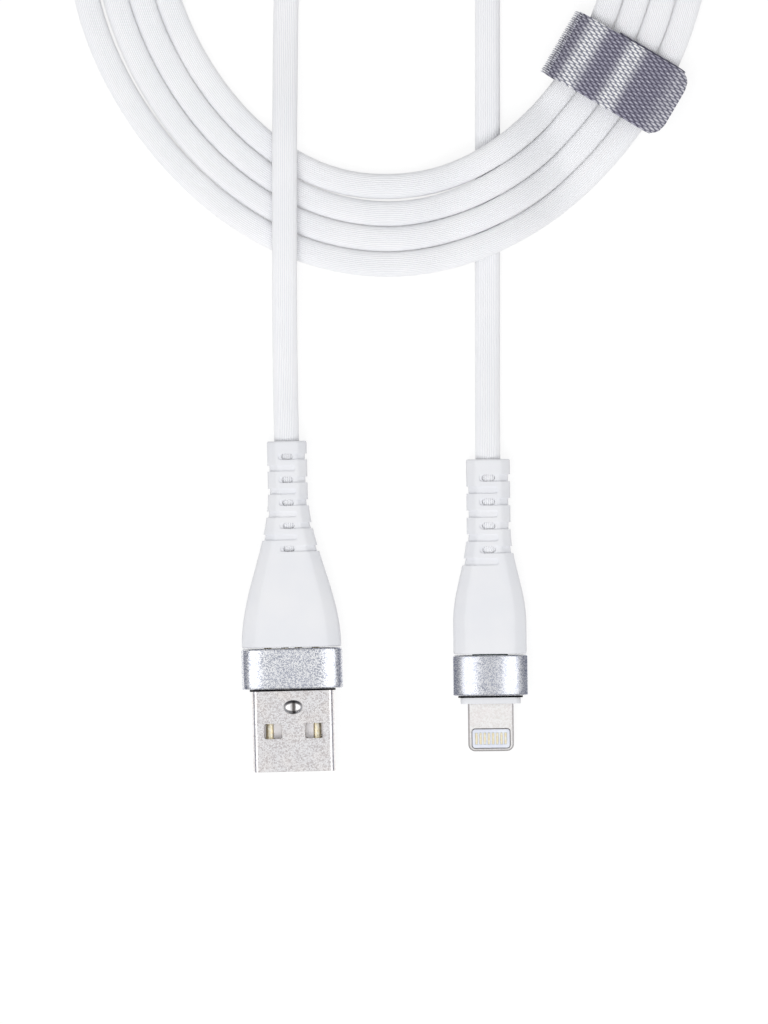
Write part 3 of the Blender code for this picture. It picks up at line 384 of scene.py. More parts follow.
def shell_finish():
    """Rolled steel with a warm nickel plate, mottled, with fine scratches along the plug."""
    paint = Paint("nickel_steel", Metallic=1.0)
    mottle = (0.8 * paint.grains(0.17 * MM) + 0.2 * paint.grains(0.3 * MM)).clear(0.05, 0.7)
    scratch = paint.noise(0.12 * MM, 2.0, paint.stretched((1.0, 0.04, 1.0))).clear(0.55, 0.75)
    stain = paint.noise(3.1 * MM).clear(0.4, 0.75)
    plate = paint.mix(mottle, tint(0.74, 0.69, 0.685), tint(1.0, 0.985, 0.985))
    warm = paint.mix(mottle, tint(0.74, 0.68, 0.66), tint(1.0, 0.96, 0.935))
    worn = paint.mix(stain, plate, warm)
    paint.colour(paint.mix(0.3 * scratch, worn, tint(0.99, 0.97, 0.95)))
    paint.roughness(0.15 + 0.1 * mottle + 0.04 * stain)
    paint.bump(paint.noise(0.25 * MM) + 0.4 * scratch, 0.008 * MM, 0.4)
    return paint.material


def tab_finish():
    """The slim plug's steel, brushed finer and paler than the rolled shell."""
    paint = Paint("pale_steel", Metallic=1.0)
    mottle = (0.6 * paint.grains(0.17 * MM) + 0.4 * paint.noise(0.5 * MM)).clear(0.2, 0.75)
    worn = paint.noise(2.4 * MM).clear(0.4, 0.7)
    plate = paint.mix(mottle, tint(0.90, 0.865, 0.83), tint(1.0, 0.985, 0.965))
    warm = paint.mix(mottle, tint(0.91, 0.86, 0.835), tint(1.0, 0.97, 0.95))
    rubbed = paint.mix(worn, plate, warm)
    # painted shade: the edge trait darkens the chamfers, side walls and recess walls to dark grey
    paint.colour(paint.mix(0.75 * paint.trait("edge"), rubbed, tint(0.27, 0.25, 0.245)))
    paint.roughness(0.35 + 0.08 * mottle)
    paint.bump(paint.noise(0.25 * MM), 0.006 * MM, 0.4)
    return paint.material


def punch_finish():
    """The same nickel plate where the punch has polished it, with painted reflection and shade."""
    paint = Paint("polished_steel_painted_reflection", Metallic=1.0)
    stain = paint.noise(0.6 * MM).clear(0.35, 0.7)
    bright = paint.mix(stain, tint(0.88, 0.85, 0.83), tint(1.0, 0.98, 0.97))
    # painted reflection: the deep trait darkens the polished bowl to near black
    paint.colour(paint.mix(paint.trait("deep"), bright, tint(0.1, 0.085, 0.08)))
    paint.roughness(0.1 + 0.06 * stain)
    paint.bump(paint.noise(0.4 * MM), 0.01 * MM, 0.3)
    return paint.material


def gold_finish():
    """Thin bright gold, rubbed paler where it has been plugged in."""
    paint = Paint("gold_plate", Metallic=1.0)
    rubbed = paint.noise(0.5 * MM).clear(0.4, 0.7)
    paint.colour(paint.mix(rubbed, tint(0.99, 0.87, 0.58), tint(1.0, 0.96, 0.83)))
    streak = paint.noise(0.08 * MM, 2.0, paint.stretched((1.0, 0.08, 1.0)))
    paint.roughness(0.3 + 0.16 * streak)
    paint.bump(streak, 0.005 * MM, 0.4)
    return paint.material


def dark_finish():
    """Matt black moulded plastic."""
    paint = Paint("black_plastic", Specular_IOR_Level=0.1)
    cloud = paint.noise(0.8 * MM)
    paint.colour(paint.mix(cloud, tint(0.002, 0.002, 0.003), tint(0.008, 0.008, 0.011)))
    paint.roughness(0.5 + 0.15 * cloud)
    paint.bump(paint.noise(0.15 * MM), 0.01 * MM, 0.5)
    return paint.material


def insulator_finish(name, dull, clean):
    """Pale moulded insulator, slightly clouded."""
    paint = Paint(name, Specular_IOR_Level=0.5)
    cloud = paint.noise(1.4 * MM).clear(0.35, 0.7)
    paint.colour(paint.mix(cloud, tint(*dull), tint(*clean)))
    paint.roughness(0.34 + 0.1 * cloud)
    paint.bump(paint.noise(0.2 * MM), 0.008 * MM, 0.4)
    return paint.material


def board_finish():
    """Green solder mask over fine copper tracks."""
    paint = Paint("circuit_green", Specular_IOR_Level=0.5)
    across = paint.node("SeparateXYZ", inputs={0: paint.place()})
    tracks = (across * (1 / (0.5 * MM))).math("PINGPONG", 0.5).clear(0.28, 0.34)
    paint.colour(paint.mix(tracks, tint(0.02, 0.14, 0.07), tint(0.05, 0.26, 0.12)))
    paint.roughness(0.3 + 0.1 * paint.noise(0.6 * MM))
    paint.bump(tracks, 0.02 * MM, 0.5)
    return paint.material


def wire_finish(name, pale, dark):
    """A wire's coloured insulation, a little uneven along it."""
    paint = Paint("wire_" + name, Specular_IOR_Level=0.45)
    cloud = paint.noise(1.2 * MM)
    paint.colour(paint.mix(cloud, tint(*dark), tint(*pale)))
    paint.roughness(0.32 + 0.12 * cloud)
    return paint.material


WEAVE_PITCH = (1.32, 0.355)      # of the floats, along and across the tape, in mm


def weave_finish():
    """Silver-grey satin tape: staggered slanting floats over a darker ground, in painted sheen
    bands.
    """
    paint = Paint("woven_silver", Specular_IOR_Level=0.5)
    along = paint.trait("along") * (1 / WEAVE_PITCH[0])
    across = paint.trait("across") * (1 / WEAVE_PITCH[1])
    stagger = 0.5 * across.math("FLOOR").math("PINGPONG", 1.0)
    cell_along = (along + stagger).math("FRACT") - 0.5
    cell_across = across.math("FRACT") - 0.5 + 0.32 * cell_along
    reach = (cell_along * cell_along * 5.3 + cell_across * cell_across * 4.4).math("SQRT")
    thread = 1 - reach.clear(0.74, 1.06)
    # painted glint: a small bright dot in the middle of each float
    glint = 1 - reach.clear(0.12, 0.5)
    fibres = paint.node("CombineXYZ", inputs={0: along * 2.0, 1: across * 5.0})
    strands = paint.noise(1.0, 2.0, fibres).clear(0.35, 0.65)
    uneven = paint.noise(0.9 * MM).clear(0.3, 0.7)
    # painted sheen: bands where the ground and the floats are painted much paler
    sheen = paint.trait("sheen") * (0.75 + 0.45 * uneven)
    ground = paint.mix(sheen, tint(0.095, 0.09, 0.135), tint(0.25, 0.26, 0.32))
    fine = paint.mix(strands, tint(0.19, 0.182, 0.25), tint(0.39, 0.38, 0.48))
    dull = paint.mix(0.75 * glint * uneven, fine, tint(0.86, 0.85, 0.93))
    bright = paint.mix(strands, tint(0.88, 0.88, 0.93), tint(1.0, 1.0, 1.0))
    floats = paint.mix(sheen, dull, bright)
    paint.colour(paint.mix(thread, ground, floats))
    paint.roughness(0.62 - 0.24 * thread + 0.06 * uneven)
    paint.bump(thread + 0.3 * strands, 0.08 * MM, 0.8)
    return paint.material


def yarn_finish():
    """Pale synthetic yarn ends."""
    paint = Paint("pale_yarn", Specular_IOR_Level=0.4)
    cloud = paint.noise(0.5 * MM).clear(0.3, 0.7)
    paint.colour(paint.mix(cloud, tint(0.33, 0.33, 0.38), tint(0.66, 0.67, 0.72)))
    paint.roughness(0.5 + 0.15 * cloud)
    return paint.material


def hook_finish():
    """Grey moulded hook tape."""
    paint = Paint("hook_plastic", Specular_IOR_Level=0.45)
    cloud = paint.noise(1.0 * MM)
    paint.colour(paint.mix(cloud, tint(0.26, 0.26, 0.31), tint(0.36, 0.36, 0.42)))
    paint.roughness(0.45 + 0.1 * cloud)
    paint.bump(paint.noise(0.2 * MM), 0.01 * MM, 0.4)
    return paint.material


FINISHES = {
    "white_jacket": jacket_finish(),
    "white_boot": boot_finish(),
    "satin_aluminium": sleeve_finish("satin_aluminium", 1.0, 0.46),
    "fine_aluminium": sleeve_finish("fine_aluminium", 0.83, 0.58),
    "nickel_steel": shell_finish(),
    "pale_steel": tab_finish(),
    "polished_steel_painted_reflection": punch_finish(),
    "gold_plate": gold_finish(),
    "black_plastic": dark_finish(),
    "pale_insulator": insulator_finish("pale_insulator", (0.76, 0.79, 0.89), (0.83, 0.86, 0.93)),
    "white_insulator": insulator_finish("white_insulator", (0.95, 0.93, 0.95), (1.0, 0.98, 1.0)),
    "circuit_green": board_finish(),
    "woven_silver": weave_finish(),
    "pale_yarn": yarn_finish(),
    "hook_plastic": hook_finish(),
    "wire_power": wire_finish("power", (0.62, 0.04, 0.03), (0.45, 0.02, 0.02)),
    "wire_data_minus": wire_finish("data_minus", (0.85, 0.85, 0.85), (0.72, 0.72, 0.72)),
    "wire_data_plus": wire_finish("data_plus", (0.06, 0.42, 0.12), (0.03, 0.28, 0.08)),
    "wire_ground": wire_finish("ground", (0.03, 0.03, 0.03), (0.012, 0.012, 0.012)),
}


# ---------------------------------------------------------------- mesh helpers

def ease(amount):
    """A smooth rise from 0 to 1."""
    amount = min(max(amount, 0.0), 1.0)
    return 0.5 - 0.5 * math.cos(math.pi * amount)


def skin(bm, loops, ring=False):
    """Skin a row of closed loops. A ring joins the last loop back to the first."""
    rows = [[bm.verts.new(point) for point in loop] for loop in loops]
    count = len(rows[0])
    pairs = list(zip(rows, rows[1:]))
    if ring:
        pairs.append((rows[-1], rows[0]))
    for lower, upper in pairs:
        for i in range(count):
            j = (i + 1) % count
            bm.faces.new((lower[i], lower[j], upper[j], upper[i]))
    if not ring:
        bm.faces.new(rows[0])
        bm.faces.new(rows[-1][::-1])


def solid(name, bodies, ring=False):
    """An object in the scene, skinned from one or more rows of loops."""
    bm = bmesh.new()
    for loops in bodies:
        skin(bm, loops, ring)
    bmesh.ops.recalc_face_normals(bm, faces=bm.faces)
    mesh = bpy.data.meshes.new(name)
    bm.to_mesh(mesh)
    bm.free()
    made = bpy.data.objects.new(name, mesh)
    bpy.context.scene.collection.objects.link(made)
    return made


def places_of(thing):
    """The places of a mesh's points, one row for each."""
    places = np.empty(len(thing.data.vertices) * 3)
    thing.data.vertices.foreach_get("co", places)
    return places.reshape(-1, 3)


def keep(thing, name, levels):
    """Keep a number on each of a mesh's points, for its finish."""
    kept = thing.data.attributes.new(name, "FLOAT", "POINT")
    kept.data.foreach_set("value", np.asarray(levels, np.float32))


def settle(thing):
    """Apply a piece's modifiers."""
    seen = thing.evaluated_get(bpy.context.evaluated_depsgraph_get())
    mesh = bpy.data.meshes.new_from_object(seen)
    thing.modifiers.clear()
    thing.data = mesh


def cut(target, cutter):
    """Take the cutter's shape out of the target, and throw the cutter away."""
    step = target.modifiers.new("cut", "BOOLEAN")
    step.operation = "DIFFERENCE"
    step.solver = "EXACT"
    step.object = cutter
    settle(target)
    bpy.data.objects.remove(cutter)


def soften(thing, width, segments=2, angle=32.0):
    """Round every edge sharper than an angle."""
    step = thing.modifiers.new("soften", "BEVEL")
    step.width = width
    step.segments = segments
    step.limit_method = "ANGLE"
    step.angle_limit = math.radians(angle)
    step.use_clamp_overlap = True
    settle(thing)


def dress(thing, slot, body, nodes=(), place=None, sharp=40.0, finish=None):
    """Put a finished piece in place, give it its finish and hang it on its body."""
    if place is not None:
        thing.data.transform(place)
    thing.data.shade_smooth()
    thing.data.set_sharp_from_angle(angle=math.radians(sharp))
    thing.data.materials.clear()
    thing.data.materials.append(FINISHES[finish or slot])
    if body:
        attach(thing, body)
    if nodes:
        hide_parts(*nodes)


def rounded_plan(centre, width, length, radius, steps=8):
    """A rounded rectangle in plan."""
    points = []
    for quarter in range(4):
        side_x = 1 if quarter in (0, 3) else -1
        side_y = 1 if quarter in (0, 1) else -1
        for step in range(steps + 1):
            angle = math.radians(90 * quarter + 90 * step / steps)
            points.append((
                centre[0] + side_x * (width / 2 - radius) + radius * math.cos(angle),
                centre[1] + side_y * (length / 2 - radius) + radius * math.sin(angle),
            ))
    return points


def rounded_section(along, width, height, corner, steps=10):
    """A rounded rectangle square to the plug's axis."""
    return [Vector((x, along, z)) for x, z in rounded_plan((0, 0), width, height, corner, steps)]


def crowned_section(along, width, height, power, count=64):
    """A squarish oval square to the plug's axis, flatter the higher its power."""
    points = []
    for i in range(count):
        angle = 2 * math.pi * (i + 0.5) / count
        across, up = math.cos(angle), math.sin(angle)
        reach = (abs(across) ** power + abs(up) ** power) ** (-1 / power)
        points.append(Vector((width / 2 * across * reach, along, height / 2 * up * reach)))
    return points


def bevelled_section(along, width, height, bevel, softness=0.2, steps=5):
    """A flat-topped section with slanted shoulders, its eight corners softened."""
    half, rise = width / 2, height / 2
    low_x, low_z = half - bevel[0], rise - bevel[1]
    corners = [
        (half, low_z), (low_x, rise), (-low_x, rise), (-half, low_z),
        (-half, -low_z), (-low_x, -rise), (low_x, -rise), (half, -low_z),
    ]
    points = []
    for i, corner in enumerate(corners):
        here = Vector(corner)
        before, after = Vector(corners[i - 1]), Vector(corners[(i + 1) % 8])
        start = here.lerp(before, softness)
        end = here.lerp(after, softness)
        for step in range(steps + 1):
            share = step / steps
            bend = start.lerp(here, share).lerp(here.lerp(end, share), share)
            points.append(Vector((bend.x, along, bend.y)))
    return points


def plate(outline, bottom, top):
    """The two loops of a flat plate."""
    return [[Vector((x, y, z)) for x, y in outline] for z in (bottom, top)]


# ---------------------------------------------------------------- camera, table and light

def make_camera():
    """Straight above the picture's middle, framing it as the picture does."""
    lens = bpy.data.cameras.new("eye")
    lens.sensor_width = SENSOR
    lens.lens = SENSOR * (EYE_HEIGHT - WIDE_SLEEVE[1]) / (PICTURE[1] * PIXEL)
    eye = bpy.data.objects.new("eye", lens)
    eye.location = (
        (PICTURE[0] / 2 - ORIGIN_PIXEL[0]) * PIXEL,
        (ORIGIN_PIXEL[1] - PICTURE[1] / 2) * PIXEL,
        EYE_HEIGHT,
    )
    bpy.context.scene.collection.objects.link(eye)
    bpy.context.scene.camera = eye


def rays(wiring, kind):
    """1 for the rays of one kind, and 0 for the others."""
    return wiring.node("LightPath", output=f"Is {kind} Ray")


TABLE_SIZE = 24.0
TABLE_TOP = -0.01 * MM           # just under the object
TABLE_DEPTH = 0.01
TABLE_SHADE = tint(0.9, 0.9, 0.9)
TABLE_GLOW = 1.06
TABLE_GLOW_SHARE = 0.8           # the rest of what the eye sees is lit, and takes the shadow


def make_table():
    """A pale floor that the eye sees as white, with the object's shadow on it."""
    outline = rounded_plan((0, 0), TABLE_SIZE, TABLE_SIZE, 1.0)
    table = solid("table", [plate(outline, TABLE_TOP - TABLE_DEPTH, TABLE_TOP)])
    material = bpy.data.materials.new("pale_table")
    material.use_nodes = True
    wiring = Wiring(material.node_tree)
    wiring.tree.nodes.remove(wiring.tree.nodes["Principled BSDF"])
    lit = wiring.node("BsdfDiffuse", inputs={"Color": TABLE_SHADE})
    glow = wiring.node("Emission", inputs={"Strength": TABLE_GLOW})
    seen = rays(wiring, "Camera").math("MAXIMUM", rays(wiring, "Glossy"))
    share = TABLE_GLOW_SHARE * seen
    mixed = wiring.node("MixShader", inputs={0: share, 1: lit, 2: glow})
    wiring.feed(wiring.tree.nodes["Material Output"].inputs["Surface"], mixed)
    table.data.materials.append(material)


LAMP_PLACE = (-0.08, -0.24, 1.05)
LAMP_AIM = (14 * MM, 40 * MM, 0.0)
LAMP_SIZE = 0.6
LAMP_WATTS = 6.4


def make_lamp():
    """A soft box that points at the object and isn't seen itself."""
    lamp = bpy.data.lights.new("top_box", "AREA")
    lamp.size = LAMP_SIZE
    lamp.energy = LAMP_WATTS
    box = bpy.data.objects.new("top_box", lamp)
    box.location = LAMP_PLACE
    aim = Vector(LAMP_AIM) - Vector(LAMP_PLACE)
    box.rotation_euler = aim.to_track_quat("-Z", "Y").to_euler()
    box.visible_camera = False
    box.visible_glossy = False
    bpy.context.scene.collection.objects.link(box)


ROOM_LIGHT = 0.52                # what the room gives a matt surface
ROOM_SHINE = (                   # what shiny ones see: how high up, and how bright it is there
    (0.0, 0.3), (0.3, 0.32), (0.62, 0.48), (0.78, 1.9), (0.93, 2.0), (0.965, 1.1),
    (0.985, 0.76), (1.0, 0.74),
)
ROOM_ENDS = 0.35                 # how bright the room's far and near walls are beside its sides
OVERHEAD = (0.93, 0.99)          # from here up the walls no longer count
OVERHEAD_SPAN = 1.02             # a little over 1, so that nothing is divided by 0 straight up


def room_colour(bright):
    """The room's light where it has some brightness, cooler where it is dim."""
    cool = max(0.0, 0.5 - bright)
    return tint(
        bright * (0.98 - 0.3 * cool), bright * (0.99 - 0.15 * cool), bright * (1.01 + 0.7 * cool)
    )


def make_room():
    """White to the eye, plain to matt surfaces, and bright at its upper sides to shiny ones."""
    world = bpy.data.worlds.new("room")
    bpy.context.scene.world = world
    world.use_nodes = True
    wiring = Wiring(world.node_tree)
    way = wiring.node("TexCoord", output="Generated")
    across, up = (wiring.node("SeparateXYZ", inputs={0: way}, output=axis) for axis in "XZ")
    sides = across * across / (OVERHEAD_SPAN - up * up)
    walls = (sides * (1 - ROOM_ENDS) + ROOM_ENDS).math("MAXIMUM", up.clear(*OVERHEAD))
    stops = [(at, room_colour(bright)) for at, bright in ROOM_SHINE]
    ramp = wiring.node("ValToRGB", {"stops": stops}, {0: up})
    shine = wiring.node("VectorMath", {"operation": "MULTIPLY"}, {0: ramp, 1: walls})
    matt = tint(ROOM_LIGHT, ROOM_LIGHT, ROOM_LIGHT)
    lit = wiring.mix(rays(wiring, "Glossy"), matt, shine)
    seen = wiring.mix(rays(wiring, "Camera"), lit, tint(1, 1, 1))
    wiring.feed(wiring.tree.nodes["Background"].inputs["Color"], seen)


make_camera()
make_table()
make_room()
make_lamp()
bpy.context.scene.view_settings.view_transform = "Standard"


# ---------------------------------------------------------------- cord

def lane_place(angle, inset):
    """A point inside the coil's outer edge, and the way out of the coil there."""
    turn = math.radians(angle)
    radius = COIL_RADIUS
    slope = 0.0
    for order, swell in enumerate(COIL_SWELLS, 1):
        radius += swell * math.cos(order * turn)
        slope -= order * swell * math.sin(order * turn)
    outward = Vector((math.sin(turn), -math.cos(turn), 0.0))
    onward = Vector((math.cos(turn), math.sin(turn), 0.0))
    tangent = (slope * outward + radius * onward).normalized()
    normal = Vector((tangent.y, -tangent.x, 0.0))
    place = Vector((*COIL_CENTRE, 0.0)) + radius * outward - inset * normal
    return place, normal


def crossing_angle(inset):
    """Where a turn passes over the slim plug's stretch, found by halving."""
    low, high = 0.0, 60.0
    for _ in range(30):
        middle = (low + high) / 2
        if lane_place(middle, inset)[0].x < CROSSING_X:
            low = middle
        else:
            high = middle
    return low


def strand_height(place, angle, inset):
    """Height of a strand's axis, raised by the strap's tape and by the strand it crosses."""
    radius = math.hypot(place.x - COIL_CENTRE[0], place.y - COIL_CENTRE[1])
    along = radius * math.radians(abs(angle - crossing_angle(inset)))
    crossing = CROSSING_RISE * (1 - ease((along - HUMP_FLAT) / HUMP_SLOPE))
    lead, tail, slope = STRAP_LIFT
    off = angle - STRAP_ANGLE
    strap = STRAP_RISE * (1 - ease((abs(off) - (tail if off > 0 else lead)) / slope))
    return CORD_DIAMETER / 2 + (crossing ** 4 + strap ** 4) ** 0.25


def coil_point(wound):
    """The coil's axis after it has wound clockwise through an angle."""
    turn, within = divmod(wound, 360.0)
    angle = OPEN_ANGLE - within
    if angle < -180:
        angle += 360.0
    parallel = 2 * OPEN_ANGLE
    step_in = ease((within - parallel) / (360.0 - parallel))
    inset = COIL_EDGE + TURN_PITCH * (turn + step_in)
    from_start = wound / END_SPREAD_ANGLE
    from_end = (WOUND_IN_ALL - wound) / END_SPREAD_ANGLE
    inset += END_SPREAD * (ease(1 - from_end) - ease(1 - from_start))
    for lane, middle, spread, gap in LOOSE_PLACES:
        if turn >= lane:
            inset += gap * MM * math.exp(-((angle - middle) / spread) ** 2)
    place, _ = lane_place(angle, inset)
    place.z = strand_height(place, angle, inset)
    return place


def smooth_curve(knots, spacing):
    """Points along the natural cubic curve through the knots, about one spacing apart."""
    knots = np.array([tuple(k) for k in knots], float)
    chord = np.linalg.norm(np.diff(knots, axis=0), axis=1)
    at = np.concatenate([[0.0], np.cumsum(chord)])
    count = len(knots)
    system = np.eye(count)
    right = np.zeros((count, 3))
    for i in range(1, count - 1):
        before, after = chord[i - 1], chord[i]
        system[i, i - 1:i + 2] = before, 2 * (before + after), after
        slope_after = (knots[i + 1] - knots[i]) / after
        slope_before = (knots[i] - knots[i - 1]) / before
        right[i] = 6 * (slope_after - slope_before)
    bend = np.linalg.solve(system, right)
    total = max(2, round(at[-1] / spacing))
    points = []
    for place in np.linspace(0.0, at[-1], total + 1):
        i = min(np.searchsorted(at, place, side="right") - 1, count - 2)
        span = chord[i]
        left, rest = place - at[i], at[i + 1] - place
        points.append(Vector(
            bend[i] * rest ** 3 / (6 * span)
            + bend[i + 1] * left ** 3 / (6 * span)
            + (knots[i] / span - bend[i] * span / 6) * rest
            + (knots[i + 1] / span - bend[i + 1] * span / 6) * left
        ))
    return points


def cord_start(name, place):
    """Knots on a plug's axis, from the ferrule in its boot to just beyond the boot."""
    start = BOOTS[name]["cord_from"] * MM
    end = BOOT_START + BOOTS[name]["length"]
    stops = (start, (start + end) / 2, end, end + 2 * MM)
    return [place @ Vector((0, stop, 0)) for stop in stops]


def loose_stretch(name, place, route, end, neighbour):
    """The cord's axis from a plug to an end of the coil, which it meets head on."""
    away = (end - neighbour).normalized()
    knots = cord_start(name, place) + [Vector(knot) for knot in route]
    return smooth_curve(knots + [end + away * CORD_DIAMETER, end], CORD_STEP)


def cord_line():
    """The whole cord's axis, from ferrule to ferrule."""
    count = math.ceil(WOUND_IN_ALL / 360.0 * POINTS_PER_TURN)
    coil = [coil_point(WOUND_IN_ALL * i / count) for i in range(count + 1)]
    wide = loose_stretch("wide", WIDE_PLACE, WIDE_ROUTE, coil[0], coil[1])
    slim = loose_stretch("slim", SLIM_PLACE, SLIM_ROUTE, coil[-1], coil[-2])
    line = wide[:-1] + coil + slim[-2::-1]
    for point in line:
        point.z = max(point.z, CORD_DIAMETER / 2 - CORD_SINK)
    return line


RIB_PROFILE = (0.0, 0.78, 1.0, 0.78)  # heights across one rib, from its valley


def ribbed_tube(name, line, diameters, powers):
    """A ribbed tube along a line, squarish where its power is above 2."""
    around = len(RIB_PROFILE) * RIB_COUNT
    turns = [2 * math.pi * k / around for k in range(around)]
    loops = []
    for i, point in enumerate(line):
        onward = (line[min(i + 1, len(line) - 1)] - line[max(i - 1, 0)]).normalized()
        side = onward.cross(Vector((0, 0, 1))).normalized()
        up = side.cross(onward)
        bare = diameters[i] / 2 - RIB_HEIGHT
        power = powers[i]
        loop = []
        for k, a in enumerate(turns):
            across, rise = math.cos(a), math.sin(a)
            swell = (abs(across) ** power + abs(rise) ** power) ** (-1 / power)
            reach = bare * swell + RIB_HEIGHT * RIB_PROFILE[k % len(RIB_PROFILE)]
            loop.append(point + reach * (across * side + rise * up))
        loops.append(loop)
    tube = solid(name, [loops])
    keep(tube, "rib", np.tile(RIB_PROFILE, len(line) * RIB_COUNT))
    return tube


def make_cord():
    """The whole cord, whose ends are hidden in the thicker jacket ends in the boots."""
    line = cord_line()
    runs = [0.0]
    for before, after in zip(line, line[1:]):
        runs.append(runs[-1] + (after - before).length)
    length = runs[-1]
    in_boot = max(boot["length"] for boot in BOOTS.values())
    powers = [
        2 + (CORD_POWER - 2) * ease((min(run, length - run) - in_boot) / ROUND_REACH)
        for run in runs
    ]
    cord = ribbed_tube("ribbed_cord", line, [CORD_DIAMETER] * len(line), powers)
    dress(
        cord, "white_jacket", "cable", ("cord_wide_stretch", "cord_coil", "cord_slim_stretch"),
        sharp=60,
    )
    print("cord length in mm:", round(length / MM, 1))


def make_jacket_end(name, place):
    """The thickened end of the jacket that shows through the boot's slots."""
    boot = BOOTS[name]
    start = BOOT_START + boot["can_end"] * MM + FERRULE_ROOM + JACKET_END_GAP
    end = BOOT_START + boot["length"] - RELIEF_SNUG - JACKET_END_GAP
    stops = (start, start + JACKET_END_EDGE, end - JACKET_END_EDGE, end)
    thin = JACKET_END_DIAMETER - JACKET_END_EDGE
    diameters = (thin, JACKET_END_DIAMETER, JACKET_END_DIAMETER, thin)
    line = [Vector((0, stop, 0)) for stop in stops]
    tube = ribbed_tube(name + "_jacket_sleeve", line, diameters, [2] * len(line))
    dress(tube, "white_jacket", "cable", (name + "_plug_jacket_end",), place, sharp=60)


make_cord()
make_jacket_end("wide", WIDE_PLACE)
make_jacket_end("slim", SLIM_PLACE)


# ---------------------------------------------------------------- boots

def boot_outline(boot, inset=0.0, stations=64):
    """The boot's outer sections, or those of the core one inset under its surface."""
    length = boot["length"]
    stops = [BOOT_EDGE * (1 - math.cos(math.radians(18 * i))) for i in range(5)]
    stops += [BOOT_EDGE + (length - 2 * BOOT_EDGE) * i / stations for i in range(stations + 1)]
    stops += [length - stop for stop in stops[4::-1]]
    flare_start, flare_end = boot["flare"]
    loops = []
    for stop in stops:
        near_end = min(stop, length - stop)
        tuck = BOOT_TUCK * (1 - math.sqrt(1 - (1 - min(near_end / BOOT_EDGE, 1)) ** 2))
        trim = 2 * (inset + tuck)
        share = 1 - ease((stop / MM - flare_start) / (flare_end - flare_start))
        width, height = (
            (e + (f - e) * share) * MM - trim for f, e in zip(boot["front"], boot["end"])
        )
        bevel = [(e + (f - e) * share) * MM for f, e in zip(*boot["bevels"])]
        loops.append(bevelled_section(BOOT_START + stop, width, height, bevel))
    return loops


def bore_section(along, diameter, count):
    """A round loop square to the plug's axis."""
    turns = (2 * math.pi * (i + 0.5) / count for i in range(count))
    return [Vector((diameter / 2 * math.cos(a), along, diameter / 2 * math.sin(a))) for a in turns]


def boot_loops(boot):
    """The boot's outside, then back through its bores and the can's pocket."""
    outside = boot_outline(boot)
    end = BOOT_START + boot["length"]
    can_end = BOOT_START + boot["can_end"] * MM
    ferrule_end = can_end + FERRULE_ROOM
    bores = (
        (end, CORD_BORE), (end - RELIEF_SNUG, CORD_BORE), (end - RELIEF_SNUG, RELIEF_BORE),
        (ferrule_end, RELIEF_BORE), (ferrule_end, FERRULE_BORE), (can_end, FERRULE_BORE),
    )
    can = [side * MM for side in boot["can"]]
    inside = [bore_section(along, diameter, len(outside[0])) for along, diameter in bores]
    inside += [bevelled_section(along, *can, CAN_BEVEL) for along in (can_end, BOOT_START)]
    return outside + inside


def boot_cuts(boot):
    """The slots through a boot, and the grooves that run in from its sides past its middle."""
    side = boot["front"][0] * MM
    from_right, from_left = (size * MM for size in boot["reach"])
    groove = boot["groove"] * MM
    corner = GROOVE_ROUND * groove
    slot = [size * MM for size in boot["slot"]]
    pitch = boot["pitch"] * MM
    slots, grooves = [], []
    for i in range(boot["slots"]):
        along = BOOT_START + boot["length"] - boot["first"] * MM - i * pitch
        slots.append(rounded_plan((0, along), *slot, SLOT_ROUND * slot[1]))
        middle = ((side - from_right) / 2, along)
        grooves.append(rounded_plan(middle, side + from_right, groove, corner))
        if i < PLAIN_GROOVES:
            middle = ((from_left - side) / 2, along - pitch / 2)
            grooves.append(rounded_plan(middle, side + from_left, groove, corner))
    return [[plate(outline, -side, side) for outline in outlines] for outlines in (slots, grooves)]


def make_boot(name, place):
    """A moulded boot with oval slots through it and shallow grooves from side to side."""
    boot = BOOTS[name]
    slots, grooves = boot_cuts(boot)
    body = solid(name + "_moulded_boot", [boot_loops(boot)], ring=True)
    recess = solid("recess", grooves)
    cut(recess, solid("core", [boot_outline(boot, GROOVE_DEPTH)]))
    cut(body, recess)
    cut(body, solid("slots", slots))
    soften(body, CUT_ROUNDING)
    heights = places_of(body)[:, 2]
    keep(body, "parting", np.exp(-(heights / PARTING_WIDTH) ** 2))
    dress(body, "white_boot", "cable", (name + "_plug_boot",), place, sharp=35)


make_boot("wide", WIDE_PLACE)
make_boot("slim", SLIM_PLACE)


# ---------------------------------------------------------------- sleeves

def make_sleeve(name, size, power, spread, finish, place):
    """A blasted sleeve: a crowned face that ends at upright sides, and bright turned edges."""
    width, height = size
    front, back = SLEEVE_FRONT + SLEEVE_TRIM, SLEEVE_BACK - SLEEVE_TRIM / 2

    def outer(along, trim):
        outside = (spread * width - 2 * trim, height - 2 * trim)
        loop = crowned_section(along, *outside, power, SLEEVE_POINTS)
        for point in loop:
            point.x = min(max(point.x, trim - width / 2), width / 2 - trim)
        return loop

    turned = [
        (SLEEVE_TURNED * (1 - math.cos(a)), SLEEVE_TURNED * (1 - math.sin(a)))
        for a in (math.radians(30 * step) for step in range(4))
    ]
    loops = [outer(front + run, trim) for run, trim in turned]
    loops += [outer(front + SLEEVE_TURNED + i * SLEEVE_STEP, 0.0) for i in range(1, 6)]
    loops += [outer(back - run, trim) for run, trim in turned[::-1]]
    inner = [side - 2 * SLEEVE_WALL for side in size]
    loops += [crowned_section(along, *inner, power, SLEEVE_POINTS) for along in (back, front)]
    sleeve = solid(name + "_blasted_sleeve", [loops], ring=True)
    dress(
        sleeve, "satin_aluminium", "cable", (name + "_plug_sleeve",), place, sharp=35,
        finish=finish,
    )


make_sleeve("wide", WIDE_SLEEVE, 3.8, 1.05, "satin_aluminium", WIDE_PLACE)
make_sleeve("slim", SLIM_SLEEVE, 2.1, 1.15, "fine_aluminium", SLIM_PLACE)


# ---------------------------------------------------------------- wide plug's shell

